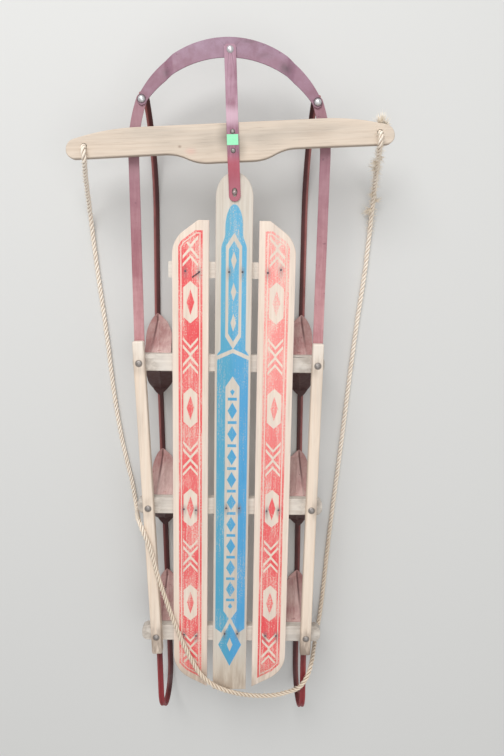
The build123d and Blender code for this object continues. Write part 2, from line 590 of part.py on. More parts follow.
# The rope's route: x, y, z. The two drops are measured from their holes. Between them the rope lies on the
# floor, climbs over the left rail, crosses the left slat, hangs behind the tails, falls over the right tail
# loop and comes back along the floor.
LEFT_DROP = [
    (0.0, 0.0, 126.0), (0.0, 0.3, 139.0), (0.0, 0.0, 151.7), (0.3, -3.7, 157.4), (0.7, -9.8, 160.2),
    (1.3, -18.0, 159.1), (1.3, -22.1, 157.1), (0.8, -25.4, 154.1), (-0.8, -30.2, 146.3),
    (-3.8, -38.2, 132.0), (-9.6, -52.8, 104.0), (-18.0, -81.5, 52.0),
]
ROPE_LOOP = [
    (-300.8, 391.7, 20.0), (-300.6, 360.1, 7.0), (-295.4, 305.7, 5.3), (-287.2, 234.7, 5.3),
    (-274.0, 130.0, 5.3), (-262.0, 5.0, 5.3), (-247.6, -92.1, 5.3), (-235.1, -151.8, 5.3),
    (-225.1, -193.7, 5.3), (-220.2, -227.5, 5.3), (-215.1, -244.8, 16.5), (-209.7, -252.9, 35.4),
    (-204.0, -247.6, 69.5), (-196.2, -240.1, 107.4), (-190.7, -235.3, 130.1), (-184.6, -241.1, 144.0),
    (-177.6, -253.6, 151.5), (-165.0, -287.4, 148.6), (-158.0, -317.3, 147.8), (-149.7, -352.7, 146.8),
    (-135.8, -398.8, 144.6), (-119.6, -451.2, 142.0), (-100.8, -499.8, 141.2), (-82.8, -540.3, 141.2),
    (-64.6, -573.9, 141.6), (-43.0, -595.5, 143.1), (-15.0, -609.7, 145.8), (19.4, -629.0, 132.5),
    (62.3, -645.5, 117.0), (105.3, -644.8, 114.0), (137.4, -627.6, 122.0), (154.0, -611.0, 133.5),
    (169.0, -585.0, 134.5), (180.0, -567.0, 110.0), (188.0, -557.0, 72.0), (196.0, -549.0, 34.0),
    (204.0, -530.0, 10.0), (209.0, -496.0, 5.5), (213.0, -440.0, 5.3), (219.0, -350.0, 5.3),
    (226.0, -263.0, 5.3), (235.0, -165.0, 5.3), (244.0, -65.0, 5.3), (253.0, 50.0, 5.3),
    (264.0, 170.0, 5.3),
    (276.4, 275.3, 5.3), (282.1, 352.4, 5.5), (284.3, 394.3, 8.0), (283.9, 423.5, 21.0),
]
RIGHT_DROP = [
    (13.0, -81.0, 52.0), (6.1, -49.4, 104.0), (2.6, -36.2, 131.9), (0.8, -28.9, 146.1),
    (-0.1, -24.5, 153.8), (-0.4, -21.2, 157.1), (-0.5, -17.1, 159.1), (-0.3, -9.9, 160.2),
    (-0.1, -3.7, 157.3), (0.0, 0.0, 151.6), (0.0, 0.3, 139.0), (0.0, 0.0, 126.0),
]


def from_hole(side, points):
    return [(ROPE_HOLE[side][0] + x, ROPE_HOLE[side][1] + y, z) for x, y, z in points]


ROPE_ROUTE = from_hole(-1, LEFT_DROP) + ROPE_LOOP + from_hole(1, RIGHT_DROP)


def corner_radii(points):
    """At each corner 0.45 of the shorter run over the tangent of half the turn."""
    radii = []
    for before, at, after in zip(points, points[1:], points[2:]):
        run_in = Vector(*at) - Vector(*before)
        run_out = Vector(*after) - Vector(*at)
        turn = radians(run_in.get_angle(run_out))
        radii.append(0.45 * min(run_in.length, run_out.length) / tan(turn / 2))
    return radii


def rope_pieces():
    """The drop from each hole, and the rest between two level cuts."""
    radii = corner_radii(ROPE_ROUTE)
    left_end = len(LEFT_DROP)
    right_start = len(ROPE_ROUTE) - len(RIGHT_DROP)
    stretches = (
        ("left", 0, left_end),
        ("middle", left_end - ROPE_SHARED_POINTS, right_start + ROPE_SHARED_POINTS),
        ("right", right_start, len(ROPE_ROUTE)),
    )
    pieces = {}
    for name, first, last in stretches:
        points = ROPE_ROUTE[first:last]
        path = FilletPolyline(*points, radius=radii[first:last - 2])
        tube = sweep(Plane(origin=path @ 0, z_dir=path % 0) * Circle(ROPE_R), path=path)
        section_length = pi * ROPE_R ** 2 * path.length
        print(name, "rope length", round(path.length, 1), "volume share", round(tube.volume / section_length, 4))
        pieces[name] = tube
    corner = (Align.CENTER, Align.MIN, Align.MIN)
    by_the_bar = Pos(0, LEVER_PIN_Y - HIGH / 4, 0) * Box(4 * HIGH, 2 * HIGH, HIGH, align=corner)
    pieces["left"] = pieces["left"] & (Pos(0, 0, ROPE_CUT_Z + RUN_GAP / 2) * by_the_bar)
    pieces["right"] = pieces["right"] & (Pos(0, 0, ROPE_CUT_Z + RUN_GAP / 2) * by_the_bar)
    pieces["middle"] = pieces["middle"] - (Pos(0, 0, ROPE_CUT_Z - RUN_GAP / 2) * by_the_bar)
    print("corner radii", [round(radius) for radius in radii])
    return pieces


def knot(side):
    """The knot that stops the rope under the bar, as one lump with cut corners."""
    end = ROPE_ROUTE[0] if side < 0 else ROPE_ROUTE[-1]
    lump = Cylinder(KNOT_R, KNOT_HIGH, align=(Align.CENTER, Align.CENTER, Align.MAX))
    lump = chamfer(lump.edges().filter_by(GeomType.CIRCLE), KNOT_CORNER)
    return Pos(*end) * lump


def build():
    parts = {"slat_middle": middle_slat(), "batten_front": batten()}
    for side_name, side in SIDES:
        parts["slat_" + side_name] = handed(side_slat(), side)
        parts["rail_" + side_name] = rail(side)
        parts["runner_" + side_name] = rear_runner(side)
        parts["runner_nose_" + side_name] = nose_runner(side)
        parts["strap_" + side_name] = strap(side)
        parts["knot_" + side_name] = knot(side)
        parts["bow_bolt_" + side_name] = bolt(END_BOLT[side], BOW_TOP, STRAP_Z - RUNNER_THICK - NUT_GAP)
        for number, y in enumerate(CROSSBAR_YS, 1):
            parts[f"knee_{side_name}_{number}"] = placed_knee(side, y)
            parts[f"rail_rivet_{side_name}_{number}"] = rail_rivet(side, y)
    for number, y in enumerate(CROSSBAR_YS, 1):
        parts[f"crossbar_{number}"] = crossbar(y)
    for number, y in enumerate(LEVER_RIVETS, 1):
        parts[f"bar_rivet_{number}"] = bar_rivet(y)
    parts["bow"] = bow()
    parts["bow_bolt_middle"] = bolt(CENTRE_BOLT, LEVER_FRONT_Z + FLAT_STEEL + RUN_GAP, BOW_Z + BOW_JOGGLE)
    parts["lever"] = lever()
    parts["lever_pin"] = lever_pin()
    parts["steering_bar"] = steering_bar()
    for name, piece in rope_pieces().items():
        parts["rope_" + name] = piece
    return parts


os.makedirs("parts", exist_ok=True)
for part_name, part in build().items():
    save(part, part_name)
print("nose pivots", NOSE_PIVOT, "end bolts", END_BOLT, "centre bolt", CENTRE_BOLT)
print("lever", LEVER_LENGTH, LEVER_ANGLE, "bar", BAR_MIDDLE, BAR_ANGLE, "holes", ROPE_HOLE, "centring", CENTRING)
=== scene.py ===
import math
import random

import bpy
from mathutils import Matrix, Vector


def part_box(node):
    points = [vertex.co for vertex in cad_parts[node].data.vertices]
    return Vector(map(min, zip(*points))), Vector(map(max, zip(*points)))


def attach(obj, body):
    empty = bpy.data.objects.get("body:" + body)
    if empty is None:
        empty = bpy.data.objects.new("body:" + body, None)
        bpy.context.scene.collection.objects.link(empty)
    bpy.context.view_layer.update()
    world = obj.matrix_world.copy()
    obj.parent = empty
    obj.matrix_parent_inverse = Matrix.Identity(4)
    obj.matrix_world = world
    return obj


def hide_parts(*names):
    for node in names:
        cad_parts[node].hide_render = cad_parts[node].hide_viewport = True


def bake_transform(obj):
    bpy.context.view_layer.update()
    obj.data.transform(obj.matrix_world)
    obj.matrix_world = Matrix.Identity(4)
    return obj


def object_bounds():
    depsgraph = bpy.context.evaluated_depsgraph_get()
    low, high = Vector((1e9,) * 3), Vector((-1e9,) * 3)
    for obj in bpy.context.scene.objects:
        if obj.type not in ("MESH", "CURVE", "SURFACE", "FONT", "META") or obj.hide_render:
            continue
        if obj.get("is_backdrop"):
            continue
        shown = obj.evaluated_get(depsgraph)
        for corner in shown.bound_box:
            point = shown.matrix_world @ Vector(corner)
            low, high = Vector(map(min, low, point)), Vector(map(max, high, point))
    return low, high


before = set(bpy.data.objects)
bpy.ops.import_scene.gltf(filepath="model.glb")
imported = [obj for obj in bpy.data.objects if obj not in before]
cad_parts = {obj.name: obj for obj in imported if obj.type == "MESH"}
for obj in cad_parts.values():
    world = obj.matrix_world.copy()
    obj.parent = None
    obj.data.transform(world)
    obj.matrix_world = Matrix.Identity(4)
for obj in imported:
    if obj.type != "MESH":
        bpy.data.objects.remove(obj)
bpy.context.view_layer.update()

MM = 0.001
SHIFT_X = 8.895
SHIFT_Y = 0.85


def at(x, y, z):
    """A point of the source, in millimetres from the middle slat's axis, as metres in the frame."""
    return Vector(((x + SHIFT_X) * MM, (y + SHIFT_Y) * MM, z * MM))


def middle_of(name):
    """The middle of a node's box, as the source has it."""
    x, y, z = ((low + high) / 2 / MM for low, high in zip(*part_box(name)))
    return x - SHIFT_X, y - SHIFT_Y, z


# Sizes repeated from the source, in millimetres, with angles in radians
RACK_TAN = math.tan(math.radians(1.13))
RACK_MIDDLE_Y = -329.0
CROSSBAR_YS = (94.0, -205.5, -492.0)
DECK_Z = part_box("slat_middle")[0].z / MM
SLAT_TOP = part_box("slat_middle")[1].z / MM
BAR_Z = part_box("steering_bar")[0].z / MM
BAR_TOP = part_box("steering_bar")[1].z / MM
RUNNER_THICK = 5.0
RUNNER_SPLIT_Y = 187.0
TAIL_LOOP_Y = -635.5
TAIL_LOOP_R = (DECK_Z - RUNNER_THICK) / 2
RETURN_END_Y = -514.0
RUNNER_HALF_FRONT = 155.0
RUNNER_HALF_REAR = 147.7
RUNNER_TAPER = (RUNNER_HALF_FRONT - RUNNER_HALF_REAR) / (RUNNER_SPLIT_Y - TAIL_LOOP_Y)
NOSE_BEYOND_BOLT = 13.75
NOSE_CURVE_R = 300.0
NOSE_CURVE_TURN = math.radians(42.0)
NOSE_TIP_R = 28.0
NOSE_HOOK_R = 8.0
NOSE_TAB = 16.0
TAIL_LEAN = 6.8
NOSE_LEAN = 8.7
END_BOLTS = {-1: (-174.804, 588.261), 1: (152.596, 588.124)}
CENTRE_BOLT = (-11.068, 673.292)
LEVER_PIN = (0.0, 422.4)
LEVER_ANGLE = math.radians(2.526)
BAR_ANGLE = math.radians(3.576)
ROPE_HOLES = {-1: (-278.164, 498.475), 1: (267.272, 532.561)}
SIDES = (("left", -1), ("right", 1))
SIDE_SLAT_MIDDLE = 83.6
SLAT_HALF = 35.5


def srgb(red, green, blue):
    """A colour as read from a screen, 0 to 255, as linear values."""
    linear = []
    for value in (red, green, blue):
        share = value / 255
        linear.append(share / 12.92 if share <= 0.04045 else ((share + 0.055) / 1.055) ** 2.4)
    return (*linear, 1.0)


# Node materials, written as sums


class Num:
    """A value that a material's nodes work out at each point."""

    def __init__(self, tree, socket):
        self.tree = tree
        self.socket = socket

    def op(self, operation, other=None, swap=False):
        node = self.tree.nodes.new("ShaderNodeMath")
        node.operation = operation
        first, second = (1, 0) if swap else (0, 1)
        self.tree.links.new(self.socket, node.inputs[first])
        if other is not None:
            put(self.tree, node.inputs[second], other)
        return Num(self.tree, node.outputs[0])

    def __add__(self, other):
        return self.op("ADD", other)

    def __sub__(self, other):
        return self.op("SUBTRACT", other)

    def __rsub__(self, other):
        return self.op("SUBTRACT", other, swap=True)

    def __mul__(self, other):
        return self.op("MULTIPLY", other)

    def __truediv__(self, other):
        return self.op("DIVIDE", other)

    def __neg__(self):
        return self.op("MULTIPLY", -1.0)

    __radd__ = __add__

    def __abs__(self):
        return self.op("ABSOLUTE")

    def least(self, other):
        return self.op("MINIMUM", other)

    def most(self, other):
        return self.op("MAXIMUM", other)

    def ramp(self, low, high, out_low=0.0, out_high=1.0):
        """Runs smoothly from out_low to out_high as the value goes from low to high."""
        node = self.tree.nodes.new("ShaderNodeMapRange")
        node.interpolation_type = "SMOOTHSTEP"
        self.tree.links.new(self.socket, node.inputs["Value"])
        for name, value in (("From Min", low), ("From Max", high), ("To Min", out_low), ("To Max", out_high)):
            put(self.tree, node.inputs[name], value)
        return Num(self.tree, node.outputs[0])


def put(tree, socket, value):
    if isinstance(value, Num):
        tree.links.new(value.socket, socket)
    elif isinstance(value, bpy.types.NodeSocket):
        tree.links.new(value, socket)
    else:
        socket.default_value = value


class Material:
    """A principled material with the object's own coordinates x, y, z in metres."""

    def __init__(self, name):
        self.data = bpy.data.materials.new(name)
        self.data.use_nodes = True
        self.tree = self.data.node_tree
        self.shader = next(n for n in self.tree.nodes if n.type == "BSDF_PRINCIPLED")
        coordinates = self.tree.nodes.new("ShaderNodeTexCoord")
        self.x, self.y, self.z = self.split(coordinates.outputs["Object"])
        self.facing_up = self.split(coordinates.outputs["Normal"])[2]

    def plan(self):
        """The place across and along, in the source's millimetres."""
        return self.x * 1000.0 - SHIFT_X, self.y * 1000.0 - SHIFT_Y

    def split(self, socket):
        node = self.tree.nodes.new("ShaderNodeSeparateXYZ")
        self.tree.links.new(socket, node.inputs[0])
        return [Num(self.tree, output) for output in node.outputs]

    def attribute(self, name):
        node = self.tree.nodes.new("ShaderNodeAttribute")
        node.attribute_name = name
        return self.split(node.outputs["Vector"])

    def noise(self, x, y, z, detail=3.0, roughness=0.55):
        join = self.tree.nodes.new("ShaderNodeCombineXYZ")
        for socket, value in zip(join.inputs, (x, y, z)):
            put(self.tree, socket, value)
        node = self.tree.nodes.new("ShaderNodeTexNoise")
        self.tree.links.new(join.outputs[0], node.inputs["Vector"])
        node.inputs["Scale"].default_value = 1.0
        node.inputs["Detail"].default_value = detail
        node.inputs["Roughness"].default_value = roughness
        return Num(self.tree, node.outputs[0])

    def mix(self, share, first, second):
        node = self.tree.nodes.new("ShaderNodeMix")
        node.data_type = "RGBA"
        put(self.tree, node.inputs[0], share)
        put(self.tree, node.inputs[6], first)
        put(self.tree, node.inputs[7], second)
        return node.outputs[2]

    def set(self, **values):
        for name, value in values.items():
            put(self.tree, self.shader.inputs[name.replace("_", " ")], value)

    def bump(self, height, distance, strength=1.0):
        node = self.tree.nodes.new("ShaderNodeBump")
        node.inputs["Distance"].default_value = distance
        node.inputs["Strength"].default_value = strength
        put(self.tree, node.inputs["Height"], height)
        self.tree.links.new(node.outputs[0], self.shader.inputs["Normal"])


def wood_colour(m, along, across, up, seed, tones, greying):
    """Colour, fibre and pore values of wood with long fibres, broader bands and grey weathering."""
    light, dark, grey = tones
    u = along + seed
    wander = m.noise(u * 1.7, across * 9.0, up * 9.0, 2.0)
    bands = (across * 700.0 + wander * 15.0 + up * 300.0).op("SINE") * 0.5 + 0.5
    fibre = m.noise(u * 6.0, across * 260.0, up * 260.0, 4.0, 0.6)
    broad = m.noise(u * 2.1, across * 24.0, up * 24.0, 3.0, 0.6)
    pores = m.noise(u * 20.0, across * 900.0, up * 900.0, 2.0).ramp(0.58, 0.72)
    tone = fibre.ramp(0.25, 0.78) * 0.6 + bands * 0.1 + broad.ramp(0.35, 0.7) * 0.35
    colour = m.mix(tone.least(1.0), light, dark)
    weather = m.noise(u * 2.4, across * 26.0, up * 26.0, 4.0, 0.6).ramp(0.45, 0.75) * greying
    colour = m.mix(weather.least(1.0), colour, grey)
    colour = m.mix(pores * 0.1, colour, srgb(128, 104, 88))
    return colour, fibre, pores


def finish_wood(m, colour, fibre, pores, roughness=0.6):
    m.set(Base_Color=colour, Roughness=fibre.ramp(0.2, 0.8, roughness + 0.1, roughness - 0.08))
    m.bump(fibre - pores * 0.8, 0.0006, 0.5)


def blot(x, y, centre, rx, ahead, behind):
    """A soft spot in millimetres, drawn out by other lengths ahead and behind; 1 in its middle, 0 outside."""
    dx = (x - centre[0]) / rx
    dy = y - centre[1]
    stretched = (dy / ahead).most(-(dy / behind))
    away = (dx * dx + stretched * stretched).op("SQRT")
    return away.ramp(1.0, 0.0)


def disc(x, y, centre, inner, outer):
    """1 within inner millimetres of a centre, 0 beyond outer."""
    dx = x - centre[0]
    dy = y - centre[1]
    return (dx * dx + dy * dy).op("SQRT").ramp(inner, outer, 1.0, 0.0)


def union(masks):
    """The largest of several masks at each point."""
    whole = masks[0]
    for mask in masks[1:]:
        whole = whole.most(mask)
    return whole


# Wood: a light, a dark and a weathered tone each
SIDE_TONES = (srgb(239, 224, 209), srgb(225, 204, 186), srgb(207, 195, 186))
MIDDLE_TONES = (srgb(218, 211, 200), srgb(197, 185, 170), srgb(180, 174, 164))
CROSSBAR_TONES = (srgb(230, 223, 213), srgb(208, 198, 187), srgb(190, 184, 177))
RAIL_TONES = (srgb(240, 225, 208), srgb(225, 202, 180), srgb(200, 186, 172))
BAR_TONES = (srgb(222, 207, 190), srgb(200, 181, 162), srgb(178, 168, 156))
INK_RED = srgb(230, 58, 68)
INK_BLUE = srgb(50, 154, 200)
RUST_GREY = srgb(120, 112, 112)

# Where the prints' parts lie along the slats, and how often they come again, in millimetres
PRINT_PERIOD = 210.0
LONG_WINDOW_Y = 236.0
BEAD_PERIOD = 60.0
BAY_Y = -192.0
CHAIN_PERIOD = 48.0
KITE_Y = -511.0

NAILS = {
    "left": [
        (-93.6, 274.7), (-66.7, 273.3), (-97.1, -208.2), (-72.2, -210.1), (-71.8, -491.5), (-97.0, -489.0),
    ],
    "middle": [
        (-9.1, 274.2), (16.8, 274.6), (-10.0, -205.0), (16.2, -204.6), (-11.0, -485.9), (16.0, -485.6),
    ],
    "right": [
        (65.9, 273.5), (90.8, 279.6), (72.9, -210.4), (97.5, -207.9), (75.5, -489.9), (98.5, -489.7),
    ],
}


def inside(distance, soft=0.5):
    """1 where a signed distance in millimetres is below 0, with a soft edge."""
    return distance.ramp(-soft, soft, 1.0, 0.0)


def diamond(across, along, half_wide, half_long, scale):
    """Signed distance from a diamond's edge, in about millimetres."""
    return (across / half_wide + along / half_long - 1.0) * scale


def from_half(value, period):
    """How far a value is from the nearest middle of a period."""
    return abs(value.op("FLOORED_MODULO", period) - period / 2)


def side_print(x, y, side):
    """Red field with a pinline along its edge, windows that each hold a lozenge, and chevrons between."""
    u = x * float(side) - SIDE_SLAT_MIDDLE
    wide = abs(u)
    field = (wide - 23.5).most(y - 352.0)
    field = field.most((y + u * 0.74 - 345.0) / 1.24).most((y + u * 1.9 - 366.0) / 2.15)
    field = field.most((-576.0 + u * 0.535 - y) / 1.13).most((-580.0 + u * 1.05 - y) / 1.45)
    away = from_half(y - 110.0, PRINT_PERIOD)
    window = (wide - 14.0).most((wide * 0.9 + away - 41.0) / 1.35)
    gem = diamond(wide, away, 7.5, 25.0, 7.0)
    slant = PRINT_PERIOD / 2 - away - wide * 1.15
    chevron = (abs(slant - 2.0) - 3.4).least(abs(slant - 17.0) - 3.0).most(wide - 15.0).most(field + 8.6)
    pinline = abs(field + 5.2) - 0.95
    bare = inside(window.least(chevron).least(pinline))
    return inside(field) * (1.0 - bare).most(inside(gem))


def middle_print(x, y):
    """Blue tongue in front, a spindle window, then two side stripes with a chain between, and a kite."""
    wide = abs(x)
    half = y.ramp(112.0, 124.0, 31.0, 24.5) - y.ramp(318.0, 346.0) * 7.5
    round_end = ((y - 356.0) / 45.0).most(0.0)
    tongue = ((wide / 17.0) * (wide / 17.0) + round_end * round_end - 1.0) * 8.0
    field = (wide - half).most(tongue.least(y - 356.0)).most(-498.0 + wide * 0.8 - y)
    gap = abs(y + wide * 0.45 - 121.0) - 4.2
    front = abs(y - LONG_WINDOW_Y)
    long_window = (wide - 15.5).most(wide * 1.6 + front - 112.0)
    long_fill = (wide - 10.0).most(wide * 1.6 + front - 97.0)
    bead = BEAD_PERIOD / 2 - from_half(y - LONG_WINDOW_Y, BEAD_PERIOD)
    beads = diamond(wide, bead, 5.5, 18.0, 5.0).most((front - 76.0) * 0.5)
    middle = abs(y - BAY_Y)
    bay = (wide - 14.0).most(wide * 1.5 + middle - 262.0)
    link = from_half(y - BAY_Y, CHAIN_PERIOD)
    lozenge = diamond(wide, CHAIN_PERIOD / 2 - link, 9.5, 17.0, 6.0)
    tie = (wide - 9.0).most(link - 3.0)
    chain = lozenge.least(tie).most(wide + middle - 236.0)
    kite = abs(y - KITE_Y)
    kite_shape = diamond(wide, kite, 24.5, 50.0, 20.0)
    kite_gap = diamond(wide, kite, 31.5, 65.0, 24.0)
    kite_eye = diamond(wide, kite, 6.0, 16.0, 5.0)
    ink = inside(field) * (1.0 - inside(long_window)).most(inside(long_fill) * (1.0 - inside(beads)))
    ink = ink * (1.0 - inside(gap)) * (1.0 - inside(bay)) * (1.0 - inside(kite_gap))
    ink = ink.most(inside(chain)).most(inside(kite_shape) * (1.0 - inside(kite_eye)))
    return ink


def slat_material(name, seed, ink, side):
    """Worn varnish over pale wood, the print rubbed to fine flecks, and grey stains by the nails."""
    m = Material("slat_" + name)
    x, y = m.plan()
    tones = SIDE_TONES if side else MIDDLE_TONES
    colour, fibre, pores = wood_colour(m, m.y, m.x, m.z, seed, tones, 0.5)
    ragged = (m.noise(m.y * 260.0, m.x * 420.0, seed, 2.0) - 0.5) * 1.2
    mask = middle_print(x, y + ragged) if side == 0 else side_print(x, y + ragged, side)
    flecks = m.noise(m.y * 330.0 + seed, m.x * 560.0, 0.0, 4.0, 0.7)
    streaks = m.noise(m.y * 14.0 + seed, m.x * 330.0, 0.0, 3.0, 0.6)
    patches = m.noise(m.y * 9.0 + seed * 2, m.x * 24.0, 0.0, 3.0).ramp(0.32, 0.72)
    rubbed = flecks * 0.7 + streaks * 0.3
    threshold = patches * 0.1 + (0.34 if side == 0 else 0.385)
    faded = patches * 0.3
    if name == "right":
        threshold = threshold + y.ramp(-120.0, 200.0) * 0.03
        faded = faded + y.ramp(-260.0, 120.0) * 0.65
    cover = (rubbed - threshold).ramp(-0.04, 0.08)
    tint = m.mix(faded.least(1.0), ink, srgb(248, 158, 152) if side else srgb(110, 184, 212))
    if side < 0:
        colour = m.mix(y.ramp(-610.0, -480.0, 0.45, 0.0), colour, srgb(176, 152, 132))
    if side == 0:
        tint = m.mix(x.ramp(4.0, -12.0, 0.0, 0.65), tint, srgb(62, 156, 184))
        bluer = x.ramp(-4.0, 12.0, 0.0, 0.35) * y.ramp(0.0, 180.0, 1.0, 0.0)
        tint = m.mix(bluer, tint, srgb(66, 152, 216))
        tint = m.mix(y.ramp(60.0, 240.0, 0.0, 0.35), tint, srgb(112, 186, 214))
        colour = m.mix(y.ramp(-590.0, -500.0, 0.5, 0.0), colour, srgb(206, 188, 166))
    top_only = m.z.ramp((SLAT_TOP - 1.6) * MM, (SLAT_TOP - 0.4) * MM)
    colour = m.mix(mask * (cover * 0.8 + 0.15) * top_only, colour, tint)
    spots = [blot(x, y, nail, 8.5, 17.0, 24.0) * (0.85 if nail[1] < 0 else 0.6) for nail in NAILS[name]]
    stains = union(spots) * m.noise(m.y * 45.0, m.x * 260.0, seed, 4.0, 0.7).ramp(0.3, 0.62, 0.25, 1.0)
    colour = m.mix(stains, colour, RUST_GREY)
    rim = abs(x - SIDE_SLAT_MIDDLE * side).ramp(SLAT_HALF - 2.2, SLAT_HALF - 0.4)
    colour = m.mix(rim * 0.6, colour, srgb(246, 228, 218) if side else srgb(224, 208, 196))
    end_dirt = y.ramp(-612.0, -530.0, 0.55, 0.0) * m.noise(m.y * 22.0, m.x * 140.0, seed, 4.0).ramp(0.3, 0.62)
    colour = m.mix(end_dirt, colour, srgb(150, 128, 108))
    finish_wood(m, colour, fibre, pores, 0.5)
    return m.data


def board_material(name, axis, seed, tones, greying, turn, marks):
    """Plain wood with its fibres along x or y, turned in plan by an angle."""
    m = Material(name)
    cos, sin = math.cos(turn), math.sin(turn)
    across = m.x * cos + m.y * sin
    along = m.y * cos - m.x * sin
    if axis == "x":
        along, across = across, along
    colour, fibre, pores = wood_colour(m, along, across, m.z, seed, tones, greying)
    finish_wood(m, marks(m, colour), fibre, pores)
    return m.data


def paint_material(name, base, bloom, deep, chalk, rough, marks, streaked=True):
    """Old paint: a chalky bloom in soft patches, rubbed streaks along the piece, and small dark chips."""
    m = Material(name)
    soft = m.noise(m.x * 11.0, m.y * 11.0, m.z * 11.0, 5.0, 0.6)
    fine = m.noise(m.x * 130.0, m.y * 130.0, m.z * 130.0, 4.0, 0.7)
    if streaked:
        rubbed = m.noise(m.x * 260.0, m.y * 16.0, m.z * 60.0, 4.0, 0.7)
    else:
        rubbed = m.noise(m.x * 70.0, m.y * 70.0, m.z * 20.0, 4.0, 0.7)
    share = soft.ramp(0.34, 0.62) * chalk * 0.75 + rubbed.ramp(0.4, 0.66) * chalk * 0.35
    share = share + (fine - 0.5) * 0.45
    colour = m.mix(share.most(0.0).least(1.0), base, bloom)
    chips = m.noise(m.x * 75.0, m.y * 75.0, m.z * 75.0, 3.0, 0.7).ramp(0.67, 0.72)
    colour = marks(m, m.mix(chips * 0.7, colour, deep))
    m.set(Base_Color=colour, Roughness=fine.ramp(0.3, 0.7, rough - 0.1, rough + 0.15))
    m.bump(fine * 0.4 - chips, 0.0004, 0.4)
    return m.data


def metal_material(name, colour, dark, rough, spots=0.5, rim=0.0):
    """Bare metal with dull spots; painted shade darkens its flanks, the faces turned away from up, towards
    the dark colour by the share rim.
    """
    m = Material(name)
    fine = m.noise(m.x * 400.0, m.y * 400.0, m.z * 400.0, 3.0)
    # Painted shade on the flanks
    ring = m.facing_up.ramp(0.9, 0.55, 0.0, rim)
    spots_and_flank_shade = m.mix(ring, m.mix(fine.ramp(0.4, 0.7) * spots, colour, dark), dark)
    m.set(Base_Color=spots_and_flank_shade, Roughness=fine.ramp(0.3, 0.7, rough, rough + 0.2))
    m.shader.inputs["Metallic"].default_value = 0.85
    m.bump(fine, 0.0001, 0.3)
    return m.data


def dress(nodes, material):
    for name in nodes:
        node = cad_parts[name]
        node.data.materials.clear()
        node.data.materials.append(material)


def soften(nodes, width, segments=2):
    """A fine rounding of the hard edges, as a modifier."""
    for name in nodes:
        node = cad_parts[name]
        weld = node.modifiers.new("weld", "WELD")
        weld.merge_threshold = 1e-5
        bevel = node.modifiers.new("bevel", "BEVEL")
        bevel.width = width
        bevel.segments = segments
        bevel.limit_method = "ANGLE"
        bevel.angle_limit = math.radians(35)
        node.modifiers.new("normals", "WEIGHTED_NORMAL")


def mesh_object(name, verts, faces, material):
    """A smooth-shaded piece."""
    mesh = bpy.data.meshes.new(name)
    mesh.from_pydata([tuple(v) for v in verts], [], faces)
    mesh.materials.append(material)
    for polygon in mesh.polygons:
        polygon.use_smooth = True
    mesh.update()
    piece = bpy.data.objects.new(name, mesh)
    bpy.context.scene.collection.objects.link(piece)
    return piece


def store(piece, name, triples):
    """Three values for each point of a piece, for its material."""
    attribute = piece.data.attributes.new(name, "FLOAT_VECTOR", "POINT")
    attribute.data.foreach_set("vector", [value for triple in triples for value in triple])


def sweep_rings(rings):
    """Points and faces for rings of equally many points, each joined to the next, the ends closed."""
    verts = [point for ring in rings for point in ring]
    count = len(rings[0])
    faces = []
    for i in range(len(rings) - 1):
        for j in range(count):
            k = (j + 1) % count
            faces.append((i * count + j, i * count + k, (i + 1) * count + k, (i + 1) * count + j))
    faces.append(tuple(reversed(range(count))))
    faces.append(tuple(range(len(verts) - count, len(verts))))
    return verts, faces


# Materials of the frame's own nodes
dress(["slat_left"], slat_material("left", 3.1, INK_RED, -1))
dress(["slat_middle"], slat_material("middle", 7.7, INK_BLUE, 0))
dress(["slat_right"], slat_material("right", 12.9, INK_RED, 1))


def crossbar_marks(m, colour):
    """Grime beside the rails and an open crack along the first cross-bar's front edge."""
    x, y = m.plan()
    across = abs(x + (y - RACK_MIDDLE_Y) * RACK_TAN)
    grime = m.noise(m.x * 40.0, m.y * 60.0, m.z * 40.0, 4.0, 0.65).ramp(0.35, 0.65)
    colour = m.mix(across.ramp(118.0, 160.0, 0.0, 0.6) * grime, colour, srgb(150, 138, 126))
    return m.mix(blot(x, y, (128.0, 108.6), 26.0, 1.6, 1.6) * 0.85, colour, srgb(56, 46, 42))


crossbar_look = board_material("crossbar_wood", "x", 1.3, CROSSBAR_TONES, 0.7, 0.0, crossbar_marks)
dress(["crossbar_1", "crossbar_2", "crossbar_3", "batten_front"], crossbar_look)


KNEES = [f"knee_{side_name}_{number}" for side_name, _ in SIDES for number in (1, 2, 3)]
RAIL_RIVETS = [f"rail_rivet_{side_name}_{number}" for side_name, _ in SIDES for number in (1, 2, 3)]
RIVET_SPOTS = [middle_of(rivet) for rivet in RAIL_RIVETS]


def rail_marks(m, colour):
    """Worn, greyer rear ends, paler front ends, a stain round each rivet, and a painted contact shadow as a
    dark ring round each rivet.
    """
    x, y = m.plan()
    dirt = m.noise(m.y * 16.0, m.x * 60.0, m.z * 60.0, 4.0, 0.6)
    colour = m.mix(y.ramp(-540.0, -430.0, 0.9, 0.0) * dirt.ramp(0.3, 0.6), colour, srgb(124, 106, 94))
    colour = m.mix(y.ramp(60.0, 130.0, 0.0, 0.5), colour, srgb(234, 228, 219))
    for place in CROSSBAR_YS:
        near = abs(y - place).ramp(7.0, 30.0, 0.5, 0.0)
        colour = m.mix(near * dirt.ramp(0.35, 0.65), colour, srgb(156, 138, 122))
    # Painted contact shadow: a dark ring round each rivet's head
    for spot in RIVET_SPOTS:
        colour = m.mix(disc(x, y, spot, 6.0, 8.5) * 0.75, colour, srgb(92, 78, 70))
    return colour


rail_look = board_material("rail_wood", "y", 5.2, RAIL_TONES, 0.8, 0.0, rail_marks)
dress(["rail_left", "rail_right"], rail_look)


